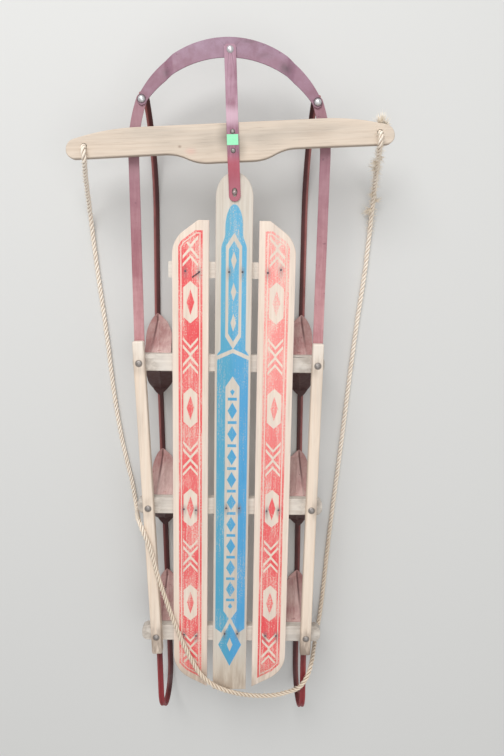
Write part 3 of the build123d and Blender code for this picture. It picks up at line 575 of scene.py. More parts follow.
def bar_marks(m, colour):
    """Painted shadow and grime beside the lever, fainter smudges, a brown spot, a pink stain, and painted
    shade on the flanks.
    """
    x, y = m.plan()
    for centre, rx, ry, share, tint in (
        # The first two rows: painted shadow and grime beside the lever
        ((-14.0, 518.0), 27.0, 40.0, 0.75, srgb(128, 118, 106)),
        ((7.0, 500.0), 20.0, 32.0, 0.6, srgb(136, 126, 112)),
        ((-50.0, 506.0), 50.0, 30.0, 0.3, srgb(160, 148, 134)),
        ((52.0, 512.0), 46.0, 28.0, 0.25, srgb(160, 150, 138)),
        ((-120.0, 506.0), 60.0, 18.0, 0.25, srgb(170, 158, 144)),
        ((150.0, 528.0), 50.0, 20.0, 0.3, srgb(180, 160, 142)),
        ((-102.0, 501.0), 5.0, 4.0, 0.6, srgb(120, 90, 70)),
        ((-82.0, 493.0), 16.0, 9.0, 0.3, srgb(226, 160, 150)),
    ):
        colour = m.mix(blot(x, y, centre, rx, ry, ry) * share, colour, tint)
    # Painted shade: the bar's flanks, below its top, darkened
    painted_flank_shade = m.z.ramp((BAR_TOP - 3.0) * MM, (BAR_TOP - 1.0) * MM, 0.5, 0.0)
    return m.mix(painted_flank_shade, colour, srgb(128, 106, 88))


bar_look = board_material("bar_wood", "x", 9.4, BAR_TONES, 0.6, BAR_ANGLE, bar_marks)
dress(["steering_bar"], bar_look)


def knee_shade(m, colour):
    """Painted shade on the rear legs, and on the bleached front ones a painted shadow along the crease and
    painted shade on the outer half.
    """
    x, y = m.plan()
    outer = abs(x + (y - RACK_MIDDLE_Y) * RACK_TAN) - ((y - TAIL_LOOP_Y) * RUNNER_TAPER + RUNNER_HALF_REAR)
    rear = []
    crease = []
    dull = []
    for place in CROSSBAR_YS:
        dy = y - place
        # The rear leg's mask, for painted shade
        rear.append(dy.ramp(-12.0, 2.0, 1.0, 0.0) * dy.ramp(-110.0, -96.0))
        front = dy.ramp(12.0, 18.0) * dy.ramp(80.0, 96.0, 1.0, 0.0)
        off = outer - (72.0 - dy) * 0.05
        crease.append(abs(off).ramp(0.4, 3.4, 1.0, 0.0) * front * dy.ramp(24.0, 60.0, 0.25, 0.8))
        dull.append(off.ramp(-1.0, 2.5) * front)
    # Painted shade on the outer half of the front legs
    colour = m.mix(union(dull) * 0.34, colour, srgb(146, 92, 88))
    # Painted shadow along the crease of the front legs
    colour = m.mix(union(crease), colour, srgb(84, 44, 42))
    # Painted shade: the rear legs darkened
    return m.mix(union(rear) * 0.94, colour, srgb(58, 18, 18))


knee_look = paint_material(
    "knee_paint", srgb(180, 128, 126), srgb(220, 190, 184), srgb(104, 54, 52), 0.9, 0.6, knee_shade)
dress(KNEES, knee_look)


def strap_shade(m, colour):
    """Darker and duller in front, under and ahead of the bar, partly as painted shade from the bar."""
    y = m.plan()[1]
    return m.mix(y.ramp(150.0, 520.0, 0.0, 0.55), colour, srgb(130, 100, 116))


strap_look = paint_material(
    "strap_paint", srgb(160, 98, 104), srgb(198, 148, 150), srgb(104, 56, 62), 0.9, 0.5, strap_shade)
dress(["strap_left", "strap_right"], strap_look)


def bow_shade(m, colour):
    """Redder towards both ends, with smudges and painted shade where the sheet is bent, and painted contact
    shadows as dark rings round the bolts.
    """
    x, y = m.plan()
    colour = m.mix(y.ramp(640.0, 690.0, 0.35, 0.0), colour, srgb(140, 88, 98))
    grain = m.noise(m.x * 60.0, m.y * 60.0, 0.0, 4.0, 0.7).ramp(0.3, 0.65, 0.4, 1.0)
    # Smudges with painted shade where the sheet is bent
    for centre, rx, ry, share in (
        ((-127.0, 634.0), 13.0, 14.0, 0.6),
        ((91.0, 643.0), 19.0, 19.0, 0.75),
        ((52.0, 665.0), 26.0, 10.0, 0.3),
        ((22.0, 688.0), 26.0, 5.0, 0.35),
    ):
        colour = m.mix(blot(x, y, centre, rx, ry, ry) * grain * share, colour, srgb(96, 78, 84))
    # Painted contact shadows: dark rings round the bolts
    for bolt in (END_BOLTS[-1], END_BOLTS[1], CENTRE_BOLT):
        colour = m.mix(disc(x, y, bolt, 7.6, 9.4) * 0.8, colour, srgb(58, 40, 46))
    return colour


bow_look = paint_material(
    "bow_paint", srgb(134, 98, 114), srgb(160, 130, 149), srgb(84, 52, 64), 1.0, 0.42, bow_shade, False)
dress(["bow"], bow_look)


def lever_shade(m, colour):
    """Redder behind the bar, a painted highlight at the front crank, with a dark slot round the pin."""
    x, y = m.plan()
    dx = (x - LEVER_PIN[0]) / 5.3
    dy = (y - LEVER_PIN[1] - 0.9) / 7.4
    slot = (dx * dx + dy * dy).ramp(0.8, 1.15, 0.95, 0.0)
    colour = m.mix(y.ramp(470.0, 500.0, 0.8, 0.0), colour, srgb(182, 80, 94))
    colour = m.mix(y.ramp(575.0, 610.0, 0.0, 0.2), colour, srgb(112, 68, 84))
    colour = m.mix(y.ramp(428.0, 462.0, 0.4, 0.0), colour, srgb(156, 100, 114))
    # Painted highlight: a pale band across the front crank
    colour = m.mix(abs(y - 556.0).ramp(4.0, 24.0, 0.55, 0.0), colour, srgb(222, 190, 204))
    return m.mix(slot, colour, srgb(34, 22, 26))


lever_look = paint_material(
    "lever_paint", srgb(136, 86, 104), srgb(188, 148, 166), srgb(84, 46, 56), 0.9, 0.45, lever_shade)
dress(["lever"], lever_look)


def runner_shade(m, colour):
    """Painted shade along the inner edge, a painted highlight along the outer edge, and painted light that
    makes the upper tail loop and the return redder.
    """
    y = m.plan()[1]
    outward = m.attribute("across")[0]
    patchy = m.noise(m.x * 30.0, m.y * 20.0, m.z * 20.0, 4.0, 0.7).ramp(0.3, 0.6, 0.6, 1.0)
    rubbed = outward.ramp(0.5, 3.2) * y.ramp(-480.0, 60.0, 0.3, 0.85) * patchy
    # Painted shade on the strip's inner side
    colour = m.mix(outward.ramp(1.0, -2.0) * 0.5, colour, srgb(46, 18, 20))
    # Painted highlight on the strip's outer side, in patches
    colour = m.mix(rubbed, colour, srgb(168, 104, 100))
    # Painted light: the upper tail loop and the return brighter red
    loop = y.ramp(-640.0, -480.0, 0.7, 0.0) * m.z.ramp(0.03, 0.1)
    return m.mix(loop, colour, srgb(156, 46, 52))


runner_look = paint_material(
    "runner_paint", srgb(74, 22, 22), srgb(112, 48, 46), srgb(44, 18, 16), 0.6, 0.5, runner_shade)
zinc = metal_material("zinc", srgb(228, 228, 230), srgb(170, 168, 168), 0.3)
rivet_look = metal_material("rivet_steel", srgb(168, 162, 158), srgb(84, 74, 70), 0.45, 0.4, 0.9)
dress(["bow_bolt_left", "bow_bolt_right", "bow_bolt_middle"], zinc)
dress(RAIL_RIVETS + ["bar_rivet_1", "bar_rivet_2"], rivet_look)
pin_look = metal_material("pin_steel", srgb(184, 168, 166), srgb(112, 98, 96), 0.5, 0.4, 0.25)
dress(["lever_pin"], pin_look)

soften(["bow", "lever", "strap_left", "strap_right"], 0.0006)
soften(KNEES, 0.0003, 1)


# Runners: one strip a side, from the return over the tail loop, along the ground and up the nose
RETURN_STEPS = 6
LOOP_STEPS = 36
GROUND_STEPS = 60
NOSE_STEPS = 16
CURVE_STEPS = 24
HOOK_STEPS = 8
# The tab's height makes up for what the lean takes off, and its top stays just under the bow
LEAN_DROP = 0.3
BOW_GAP = 0.05


def runner_point(side, y):
    half = RUNNER_HALF_REAR + RUNNER_TAPER * (y - TAIL_LOOP_Y)
    return Vector((side * half - RACK_TAN * (y - RACK_MIDDLE_Y), y))


def arc(centre, radius, start, turn, steps):
    """Points (along, up) of an arc, from a start angle through a turn, without the first."""
    angles = [start + turn * i / steps for i in range(1, steps + 1)]
    return [(centre[0] + radius * math.cos(angle), centre[1] + radius * math.sin(angle)) for angle in angles]


def runner_stations(side):
    """Centre points of the strip with its width direction, from the return's end to the nose's tab."""
    tail = runner_point(side, TAIL_LOOP_Y)
    split = runner_point(side, RUNNER_SPLIT_Y)
    bolt = Vector(END_BOLTS[side])
    nose_foot = bolt - Vector((side * NOSE_LEAN, 0))
    rear_long = (split - tail).length
    return_long = RETURN_END_Y - TAIL_LOOP_Y
    line = [(return_long * (1 - i / RETURN_STEPS), 2 * TAIL_LOOP_R) for i in range(RETURN_STEPS + 1)]
    line += arc((0, TAIL_LOOP_R), TAIL_LOOP_R, math.pi / 2, math.pi, LOOP_STEPS)
    line += [(rear_long * i / GROUND_STEPS, 0.0) for i in range(1, GROUND_STEPS + 1)]
    forward = (split - tail).normalized()
    tilt = math.atan2(TAIL_LEAN, DECK_Z - RUNNER_THICK)
    rear = [(tail, forward, along, up, tilt) for along, up in line]
    curved = NOSE_CURVE_R * math.sin(NOSE_CURVE_TURN) + NOSE_TIP_R * (1 - math.sin(NOSE_CURVE_TURN))
    ground_end = (nose_foot - split).length + NOSE_BEYOND_BOLT - curved
    nose = [(ground_end * i / NOSE_STEPS, 0.0) for i in range(1, NOSE_STEPS + 1)]
    nose += arc((ground_end, NOSE_CURVE_R), NOSE_CURVE_R, -math.pi / 2, NOSE_CURVE_TURN, CURVE_STEPS)
    last = nose[-1]
    centre = (
        last[0] - NOSE_TIP_R * math.sin(NOSE_CURVE_TURN),
        last[1] + NOSE_TIP_R * math.cos(NOSE_CURVE_TURN),
    )
    nose += arc(centre, NOSE_TIP_R, NOSE_CURVE_TURN - math.pi / 2, math.pi / 2 - NOSE_CURVE_TURN, HOOK_STEPS)
    top = DECK_Z + LEAN_DROP - RUNNER_THICK
    tip = nose[-1][0]
    nose.append((tip, top - NOSE_HOOK_R))
    nose += arc((tip - NOSE_HOOK_R, top - NOSE_HOOK_R), NOSE_HOOK_R, 0.0, math.pi / 2, HOOK_STEPS)
    nose.append((tip - NOSE_HOOK_R - NOSE_TAB, top))
    forward = (nose_foot - split).normalized()
    tilt = math.atan2(NOSE_LEAN, DECK_Z - RUNNER_THICK)
    stations = rear + [(split, forward, along, up, tilt) for along, up in nose]
    points = []
    for origin, heading, along, up, lean in stations:
        flat = origin + heading * along
        outward = Vector((heading.y, -heading.x)) * side
        point = Vector((flat.x, flat.y, RUNNER_THICK / 2 + up * math.cos(lean)))
        point += Vector((outward.x, outward.y, 0)) * (up * math.sin(lean))
        width = Vector((outward.x * math.cos(lean), outward.y * math.cos(lean), -math.sin(lean)))
        points.append((point, width))
    return points


SECTION = [
    (-6.0, 1.6), (-5.2, 2.5), (5.2, 2.5), (6.0, 1.6), (6.0, -1.7), (5.3, -2.5), (2.0, -2.5), (1.6, -1.0),
    (-1.6, -1.0), (-2.0, -2.5), (-5.3, -2.5), (-6.0, -1.7),
]


def runner(side_name, side):
    stations = runner_stations(side)
    rings = []
    for i, (point, width) in enumerate(stations):
        before = stations[max(i - 1, 0)][0]
        after = stations[min(i + 1, len(stations) - 1)][0]
        heading = (after - before).normalized()
        inward = width.cross(heading) * side
        inward.normalize()
        ring = []
        for across, up in SECTION:
            v = point + width * across + inward * up
            v.z = max(min(v.z, DECK_Z - BOW_GAP), 0.0)
            ring.append(at(*v))
        rings.append(ring)
    verts, faces = sweep_rings(rings)
    piece = mesh_object("runner_strip_" + side_name, verts, faces, runner_look)
    store(piece, "across", [(across, up, 0.0) for _ in stations for across, up in SECTION])
    return piece


def keep_sharp_edges(piece, degrees):
    """Marks the edges that turn by more than an angle as sharp."""
    mesh = piece.data
    mesh.update()
    normals = [p.normal.copy() for p in mesh.polygons]
    edge_faces = {}
    for polygon in mesh.polygons:
        for key in polygon.edge_keys:
            edge_faces.setdefault(key, []).append(polygon.index)
    limit = math.cos(math.radians(degrees))
    for edge in mesh.edges:
        pair = edge_faces.get(edge.key, [])
        if len(pair) == 2 and normals[pair[0]].dot(normals[pair[1]]) < limit:
            edge.use_edge_sharp = True


# The rope: the source's route, in millimetres, as a spline's control points
ROUTE = [
    (-278.2, 498.5, 126), (-278.2, 498.8, 139), (-278.2, 498.5, 151.7), (-277.9, 494.8, 157.4),
    (-277.5, 488.7, 160.2), (-276.9, 480.5, 159.1), (-276.9, 476.4, 157.1), (-277.4, 473.1, 154.1),
    (-279, 468.3, 146.3), (-282, 460.3, 132), (-287.8, 445.7, 104), (-296.2, 417, 52), (-300.8, 391.7, 20),
    (-300.6, 360.1, 7), (-295.4, 305.7, 5.3), (-287.2, 234.7, 5.3), (-274, 130, 5.3), (-262, 5, 5.3),
    (-247.6, -92.1, 5.3), (-235.1, -151.8, 5.3), (-225.1, -193.7, 5.3), (-220.2, -227.5, 5.3),
    (-215.1, -244.8, 16.5), (-209.7, -252.9, 35.4), (-204, -247.6, 69.5), (-196.2, -240.1, 107.4),
    (-190.7, -235.3, 130.1), (-184.6, -241.1, 144), (-177.6, -253.6, 151.5), (-165, -287.4, 148.6),
    (-158, -317.3, 147.8), (-149.7, -352.7, 146.8), (-135.8, -398.8, 144.6), (-119.6, -451.2, 142),
    (-100.8, -499.8, 141.2), (-82.8, -540.3, 141.2), (-64.6, -573.9, 141.6), (-43, -595.5, 143.1),
    (-15, -609.7, 145.8), (19.4, -629, 132.5), (62.3, -645.5, 117), (105.3, -644.8, 114),
    (137.4, -627.6, 122), (154, -611, 133.5), (169, -585, 134.5), (180, -567, 110), (188, -557, 72),
    (196, -549, 34), (204, -530, 10), (209, -496, 5.5), (213, -440, 5.3), (219, -350, 5.3),
    (226, -263, 5.3), (235, -165, 5.3), (244, -65, 5.3), (253, 50, 5.3), (264, 170, 5.3),
    (276.4, 275.3, 5.3), (282.1, 352.4, 5.5), (284.3, 394.3, 8), (283.9, 423.5, 21), (280.3, 451.6, 52),
    (273.4, 483.2, 104), (269.9, 496.4, 131.9), (268.1, 503.7, 146.1), (267.2, 508.1, 153.8),
    (266.9, 511.4, 157.1), (266.8, 515.5, 159.1), (267, 522.7, 160.2), (267.2, 528.9, 157.3),
    (267.3, 532.6, 151.6), (267.3, 532.9, 139), (267.3, 532.6, 126),
]
# The rope's sizes in metres, and the steps and counts of its mesh
ROPE_R = 0.005
STRAND_R = 0.00232
STRAND_OUT = ROPE_R - STRAND_R
LAY_LENGTH = 0.030
ROPE_STEP = 0.0019
STRAND_SIDES = 9
STRAND_ANGLES = [2 * math.pi * k / STRAND_SIDES for k in range(STRAND_SIDES)]
STRAND_TURN = [(math.cos(angle), math.sin(angle)) for angle in STRAND_ANGLES]
HAIR_STEPS = 3
HAIR_SIDES = 3
FUZZ_COUNT = 2400
WORN_COUNT = 700


def spline_line(points, name):
    """Points read from a smooth spline with these control points."""
    curve = bpy.data.curves.new(name, "CURVE")
    curve.dimensions = "3D"
    curve.resolution_u = 20
    spline = curve.splines.new("NURBS")
    spline.points.add(len(points) - 1)
    for control, point in zip(spline.points, points):
        control.co = (*point, 1.0)
    spline.order_u = 3
    spline.use_endpoint_u = True
    holder = bpy.data.objects.new(name, curve)
    bpy.context.scene.collection.objects.link(holder)
    mesh = bpy.data.meshes.new_from_object(holder)
    line = [v.co.copy() for v in mesh.vertices]
    bpy.data.objects.remove(holder)
    bpy.data.meshes.remove(mesh)
    return line


def even_points(line, step):
    """The line's points at even distances."""
    lengths = [0.0]
    for a, b in zip(line, line[1:]):
        lengths.append(lengths[-1] + (b - a).length)
    count = round(lengths[-1] / step)
    out = []
    j = 0
    for i in range(count + 1):
        s = lengths[-1] * i / count
        while j < len(lengths) - 2 and lengths[j + 1] < s:
            j += 1
        share = (s - lengths[j]) / max(lengths[j + 1] - lengths[j], 1e-12)
        out.append(line[j].lerp(line[j + 1], share))
    return out, lengths[-1]


def carried_frames(points):
    """A tangent and two cross directions at each point, turning as little as they can."""
    tangents = []
    for i in range(len(points)):
        tangents.append((points[min(i + 1, len(points) - 1)] - points[max(i - 1, 0)]).normalized())
    side = tangents[0].orthogonal().normalized()
    frames = []
    for tangent in tangents:
        side = (side - tangent * side.dot(tangent)).normalized()
        frames.append((tangent, side, tangent.cross(side)))
    return frames


def twisted(points, seed):
    """Rings of points for each of three strands that are laid round a line."""
    rnd = random.Random(seed)
    frames = carried_frames(points)
    phase = rnd.uniform(0, 6.28)
    strands = []
    for strand in range(3):
        centres = []
        s = 0.0
        for i, (point, (_, a, b)) in enumerate(zip(points, frames)):
            if i:
                s += (point - points[i - 1]).length
            angle = phase + 2 * math.pi * (strand / 3 + s / LAY_LENGTH)
            radial = a * math.cos(angle) + b * math.sin(angle)
            centres.append((point + radial * STRAND_OUT, radial, s))
        rings = []
        for i, (centre, radial, s) in enumerate(centres):
            heading = centres[min(i + 1, len(centres) - 1)][0] - centres[max(i - 1, 0)][0]
            heading.normalize()
            other = heading.cross(radial).normalized()
            radius = STRAND_R * (0.97 + 0.04 * math.sin(s * 310 + strand * 2))
            rings.append([centre + (radial * cos + other * sin) * radius for cos, sin in STRAND_TURN])
        strands.append(rings)
    return strands


def rope_material():
    m = Material("rope_fibre")
    along, outward, strand = m.attribute("lay")
    fibres = m.noise(along * 160.0 + outward * 3.0, outward * 5.0, strand * 7.0, 4.0, 0.7)
    dirt = m.noise(along * 14.0, strand, 2.0, 3.0)
    colour = m.mix(fibres.ramp(0.3, 0.7), srgb(246, 230, 210), srgb(254, 247, 236))
    colour = m.mix(dirt.ramp(0.5, 0.75) * 0.4, colour, srgb(214, 190, 164))
    colour = m.mix(m.y.ramp(-0.12, -0.4, 0.0, 0.5), colour, srgb(206, 184, 156))
    # Painted shade in the creases between strands: each strand darker on its inner side
    colour = m.mix(outward.ramp(0.45, -0.3, 0.0, 0.55), colour, srgb(170, 140, 116))
    m.set(Base_Color=colour, Roughness=0.9)
    m.bump(fibres, 0.0005, 0.8)
    return m.data


def speckled_material(name, spots, first, second, rough):
    """Two tones mixed by a noise with so many spots a metre each way."""
    m = Material(name)
    speckle = m.noise(m.x * spots[0], m.y * spots[1], m.z * spots[2])
    m.set(Base_Color=m.mix(speckle, first, second), Roughness=rough)
    return m.data


rope_look = rope_material()
hair_look = speckled_material("rope_hair", (90.0, 90.0, 90.0), srgb(246, 230, 208), srgb(254, 247, 235), 0.9)


def strand_mesh(name, points, seed):
    """A twisted rope; its attribute lay holds metres along, 1 outside to -1 inside, and the strand."""
    verts, faces, lays = [], [], []
    for strand, rings in enumerate(twisted(points, seed)):
        strand_verts, strand_faces = sweep_rings(rings)
        base = len(verts)
        verts += strand_verts
        faces += [tuple(base + i for i in face) for face in strand_faces]
        lays += [(i * ROPE_STEP, cos, float(strand)) for i in range(len(rings)) for cos, _ in STRAND_TURN]
    piece = mesh_object(name, verts, faces, rope_look)
    store(piece, "lay", lays)
    return piece


def hair(verts, faces, start, direction, length, bend, width):
    """One loose fibre, three-sided and pointed."""
    direction = direction.normalized()
    side = direction.orthogonal().normalized()
    other = direction.cross(side)
    base = len(verts)
    for i in range(HAIR_STEPS):
        share = i / HAIR_STEPS
        centre = start + direction * (length * share) + bend * (length * share * share)
        r = width * (1 - 0.55 * share)
        for k in range(HAIR_SIDES):
            angle = 2 * math.pi * k / HAIR_SIDES
            verts.append(centre + (side * math.cos(angle) + other * math.sin(angle)) * r)
    verts.append(start + direction * length + bend * length)
    tip = len(verts) - 1
    for i in range(HAIR_STEPS):
        ring = base + i * HAIR_SIDES
        for k in range(HAIR_SIDES):
            j = (k + 1) % HAIR_SIDES
            if i < HAIR_STEPS - 1:
                faces.append((ring + k, ring + j, ring + HAIR_SIDES + j, ring + HAIR_SIDES + k))
            else:
                faces.append((ring + k, ring + j, tip))
    faces.append(tuple(reversed(range(base, base + HAIR_SIDES))))


route_points = [at(*point) for point in ROUTE]
rope_points, rope_length = even_points(spline_line(route_points, "rope_route"), ROPE_STEP)
rope = strand_mesh("pull_rope", rope_points, 5)


def random_vector(rnd, side, low, high):
    """A random vector, up to side either way in x and y, and from low to high in z."""
    return Vector((rnd.uniform(-side, side), rnd.uniform(-side, side), rnd.uniform(low, high)))


hair_random = random.Random(11)
hair_verts, hair_faces = [], []
rope_frames = carried_frames(rope_points)


def loose_fibre(i, shortest, longest, width, stand):
    """One fibre that stands off the rope at its i-th point."""
    tangent, a, b = rope_frames[i]
    angle = hair_random.uniform(0, 2 * math.pi)
    out = a * math.cos(angle) + b * math.sin(angle)
    start = rope_points[i] + out * (ROPE_R * 0.86)
    direction = tangent * hair_random.uniform(-1.2, 1.2) + out * hair_random.uniform(0.35, stand)
    length = hair_random.uniform(shortest, longest)
    bend = random_vector(hair_random, 0.4, -0.3, 0.2)
    end = start + direction.normalized() * length + bend * length
    if end.z > 0.0006 and start.z > 0.0006:
        hair(hair_verts, hair_faces, start, direction, length, bend, width)


for _ in range(FUZZ_COUNT):
    loose_fibre(hair_random.randrange(4, len(rope_points) - 4), 0.002, 0.0065, 0.0002, 1.6)

# The right drop is worn: more and longer fibres, and tufts at given heights
WORN = [i for i, point in enumerate(rope_points) if point.x > 0.2 and point.y > 0.36 and point.z > 0.006]
for _ in range(WORN_COUNT):
    loose_fibre(hair_random.choice(WORN), 0.004, 0.010, 0.0003, 2.6)
fuzz = mesh_object("rope_fuzz", hair_verts, hair_faces, hair_look)


def tuft(verts, faces, centre, towards, spread, count, length, rnd, width):
    """A frayed bunch of fibres."""
    for _ in range(count):
        direction = Vector(towards) + random_vector(rnd, 1, -0.5, 0.6) * spread
        start = centre + random_vector(rnd, 1, -1, 1) * (ROPE_R / 2)
        bend = random_vector(rnd, 0.5, -0.4, 0.3)
        hair(verts, faces, start, direction, length * rnd.uniform(0.45, 1.0), bend, width)


fray_verts, fray_faces = [], []
fray_random = random.Random(23)
for high, towards, count, length in (
    (0.013, (-1.0, -0.3, 0.5), 60, 0.024),
    (0.022, (1.0, 0.3, 0.6), 50, 0.018),
    (0.030, (-0.8, 0.3, 0.8), 30, 0.016),
    (0.110, (-1.0, -0.2, 0.5), 40, 0.019),
    (0.092, (-1.0, 0.1, 0.4), 30, 0.017),
    (0.124, (1.0, -0.2, 0.7), 22, 0.014),
):
    centre = min((rope_points[i] for i in WORN), key=lambda point: abs(point.z - high))
    tuft(fray_verts, fray_faces, centre, towards, 0.5, count, length, fray_random, 0.0005)
    tuft(fray_verts, fray_faces, centre, towards, 0.35, count // 3, length * 0.95, fray_random, 0.001)
fray = mesh_object("rope_fray", fray_verts, fray_faces, hair_look)

# Knots under the bar: the same rope, twice round its hole, weaving up and down, with a frayed end
KNOT_POINTS = 28
KNOT_TURNED = 0.93
KNOT_Z = middle_of("knot_left")[2]
# Each tuft: its place from the hole, direction, spread, count, length and width
KNOT_TUFTS = {
    -1: [((-5.0, 6.0, KNOT_Z + 2.8), (-0.3, 0.5, -0.4), 0.5, 60, 0.012, 0.0003)],
    1: [
        ((3.0, 6.0, KNOT_Z + 3.0), (0.1, 1.0, 0.2), 0.2, 16, 0.016, 0.0009),
        ((2.0, 17.0, BAR_Z), (-0.1, 0.5, 1.0), 0.4, 110, 0.028, 0.0005),
        ((3.0, 16.5, BAR_Z), (0.1, 0.4, 1.0), 0.3, 30, 0.026, 0.0011),
        ((13.0, 14.0, BAR_Z), (-0.1, 0.5, 1.0), 0.3, 50, 0.021, 0.0005),
        ((13.0, 14.0, BAR_Z), (0.0, 0.4, 1.0), 0.25, 14, 0.019, 0.0011),
    ],
}
for side_name, side in SIDES:
    hole = ROPE_HOLES[side]
    loop = []
    for i in range(KNOT_POINTS):
        t = 2 * math.pi * KNOT_TURNED * i / (KNOT_POINTS - 1)
        radius = 4.1 + 1.6 * math.cos(3 * t)
        loop.append(at(
            hole[0] + radius * math.cos(2 * t) * 0.9 + 1.2 * math.cos(t),
            hole[1] + radius * math.sin(2 * t) * 0.9 + 1.2 * math.sin(t),
            KNOT_Z + 3.9 * math.sin(3 * t)))
    knot_points = even_points(spline_line(loop, "knot_route"), ROPE_STEP)[0]
    knot = strand_mesh("knot_turns_" + side_name, knot_points, 31 + side)
    end_verts, end_faces = [], []
    for start, towards, spread, count, length, width in KNOT_TUFTS[side]:
        place = at(hole[0] + start[0], hole[1] + start[1], start[2])
        tuft(end_verts, end_faces, place, towards, spread, count, length, fray_random, width)
    end = mesh_object("knot_fray_" + side_name, end_verts, end_faces, hair_look)
    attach(knot, "steering")
    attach(end, "steering")
    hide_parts("knot_" + side_name)

# Points from start to end where the rope would go over to the bar's motion, and a runner strip to its nose's;
# nothing here uses them
BLEND_START = at(0, 215, 0)
BLEND_END = at(0, 445, 0)
NOSE_BLEND_START = at(0, 188, 0)
NOSE_BLEND_END = at(0, 400, 0)
for piece in (rope, fuzz, fray):
    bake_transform(piece)
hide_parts("rope_left", "rope_middle", "rope_right")

for side_name, side in SIDES:
    strip = runner(side_name, side)
    keep_sharp_edges(strip, 30)
    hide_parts("runner_" + side_name, "runner_nose_" + side_name)
    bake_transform(strip)


# The nails' round heads, in one mesh
NAIL_HEAD_R = 2.0
NAIL_HEAD_HIGH = 0.5
NAIL_HEAD_SUNK = 0.3
HEAD_RINGS = 4
HEAD_SIDES = 18
HEAD_PROFILE = [(NAIL_HEAD_R, -NAIL_HEAD_SUNK)]
for i in range(HEAD_RINGS):
    angle = math.pi / 2 * i / HEAD_RINGS
    HEAD_PROFILE.append((NAIL_HEAD_R * math.cos(angle), NAIL_HEAD_HIGH * math.sin(angle)))
head_verts, head_faces = [], []
for x, y in [nail for group in NAILS.values() for nail in group]:
    base = len(head_verts)
    for r, z in HEAD_PROFILE:
        for k in range(HEAD_SIDES):
            angle = 2 * math.pi * k / HEAD_SIDES
            head_verts.append(at(x + r * math.cos(angle), y + r * math.sin(angle), SLAT_TOP + z))
    head_verts.append(at(x, y, SLAT_TOP + NAIL_HEAD_HIGH))
    top = len(head_verts) - 1
    for ring in range(base, top, HEAD_SIDES):
        for k in range(HEAD_SIDES):
            j = (k + 1) % HEAD_SIDES
            if ring + HEAD_SIDES < top:
                head_faces.append((ring + k, ring + j, ring + HEAD_SIDES + j, ring + HEAD_SIDES + k))
            else:
                head_faces.append((ring + k, ring + j, top))
    head_faces.append(tuple(reversed(range(base, base + HEAD_SIDES))))
nail_look = metal_material("nail_steel", srgb(104, 104, 112), srgb(70, 62, 60), 0.55)
nail_heads = mesh_object("nail_heads", head_verts, head_faces, nail_look)
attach(nail_heads, "frame")

# A nail of the left slat that is bent over and lies on it
NAIL_LINE = ((-80.5, 263.0, 1.3), (-74.0, 267.6, 1.6), (-68.0, 272.0, 1.5), (-66.9, 273.0, 0.2))
nail_points = [at(x, y, SLAT_TOP + up) for x, y, up in NAIL_LINE]
NAIL_R = 0.0010
NAIL_ANGLES = [math.pi * k / 4 for k in range(8)]
nail_rings = []
for point, (_, a, b) in zip(nail_points, carried_frames(nail_points)):
    nail_rings.append([point + (a * math.cos(angle) + b * math.sin(angle)) * NAIL_R for angle in NAIL_ANGLES])
bent_nail = mesh_object("bent_nail", *sweep_rings(nail_rings), nail_look)
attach(bent_nail, "frame")

# Bare paper label on the lever over the bar, its two ends curling up a little; in millimetres
LABEL_PLACE = (-4.6, 514.5)
LABEL_WIDE = 21.0
LABEL_LONG = 19.0
LABEL_THICK = 0.15
LABEL_CURL = 0.25
LABEL_Z = BAR_TOP + 3.02
LABEL_CELLS = 8
GREENS = (srgb(136, 226, 172), srgb(166, 240, 196))
label_look = speckled_material("label_paper", (300.0, 300.0, 0.0), *GREENS, 0.6)
label_verts, label_faces = [], []
cos, sin = math.cos(LEVER_ANGLE), math.sin(LEVER_ANGLE)
for layer in (0, 1):
    base = len(label_verts)
    for i in range(LABEL_CELLS + 1):
        for j in range(LABEL_CELLS + 1):
            u = (i / LABEL_CELLS - 0.5) * LABEL_WIDE
            v = (j / LABEL_CELLS - 0.5) * LABEL_LONG
            rise = LABEL_CURL * (2 * abs(u) / LABEL_WIDE) ** 4 + LABEL_THICK * layer
            x = LABEL_PLACE[0] + u * cos - v * sin
            y = LABEL_PLACE[1] + u * sin + v * cos
            label_verts.append(at(x, y, LABEL_Z + rise))
    for i in range(LABEL_CELLS):
        for j in range(LABEL_CELLS):
            a = base + i * (LABEL_CELLS + 1) + j
            b = a + LABEL_CELLS + 1
            quad = (a, b, b + 1, a + 1)
            label_faces.append(quad if layer else tuple(reversed(quad)))
label = mesh_object("label", label_verts, label_faces, label_look)
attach(label, "steering")

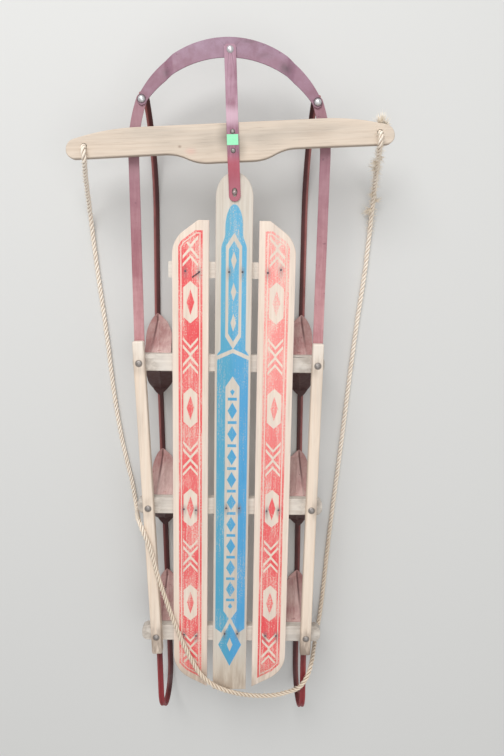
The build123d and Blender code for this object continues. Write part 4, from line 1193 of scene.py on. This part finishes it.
# Floor, light and camera, in metres, the sensor in millimetres
FLOOR_HALF = 6
LAMP_AIM = Vector((0, 0, 0.1))
CAMERA_PLACE = (0.0332, 0.28885, 1.405)
CAMERA_RIGHT = (0.9998, 0.0162, 0.0083)
CAMERA_UP = (-0.0145, 0.9851, -0.1713)
CAMERA_BACK = (-0.0110, 0.1711, 0.9852)
FOCAL_PIXELS = 650.0
IMAGE_PIXELS = 756.0
SENSOR = 36.0

floor_look = Material("floor")
floor_look.set(Base_Color=srgb(214, 214, 212), Roughness=0.9)
corners = [(x * FLOOR_HALF, y * FLOOR_HALF, 0) for x, y in ((-1, -1), (1, -1), (1, 1), (-1, 1))]
floor = mesh_object("floor", corners, [(0, 1, 2, 3)], floor_look.data)
floor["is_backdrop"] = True

world = bpy.data.worlds.new("studio")
bpy.context.scene.world = world
world.use_nodes = True
background = next(n for n in world.node_tree.nodes if n.type == "BACKGROUND")
background.inputs["Color"].default_value = (1.0, 1.0, 1.0, 1.0)
background.inputs["Strength"].default_value = 0.5


def lamp(name, place, size, watts):
    """A square lamp that is turned to the sled."""
    data = bpy.data.lights.new(name, "AREA")
    data.shape = "SQUARE"
    data.size = size
    data.energy = watts
    light = bpy.data.objects.new(name, data)
    light.location = place
    light.rotation_euler = (LAMP_AIM - Vector(place)).to_track_quat("-Z", "Y").to_euler()
    bpy.context.scene.collection.objects.link(light)


lamp("key", (-0.7, 2.3, 2.5), 1.9, 68.0)
lamp("fill", (0.6, -0.4, 3.2), 2.6, 26.0)

camera_data = bpy.data.cameras.new("camera")
camera_data.lens = FOCAL_PIXELS * SENSOR / IMAGE_PIXELS
camera_data.sensor_width = SENSOR
camera_data.clip_start = 0.05
camera = bpy.data.objects.new("camera", camera_data)
bpy.context.scene.collection.objects.link(camera)
turn = Matrix((CAMERA_RIGHT, CAMERA_UP, CAMERA_BACK)).transposed().to_quaternion()
camera.matrix_world = Matrix.Translation(CAMERA_PLACE) @ turn.to_matrix().to_4x4()
bpy.context.scene.camera = camera
bpy.context.scene.view_settings.view_transform = "Standard"

low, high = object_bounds()
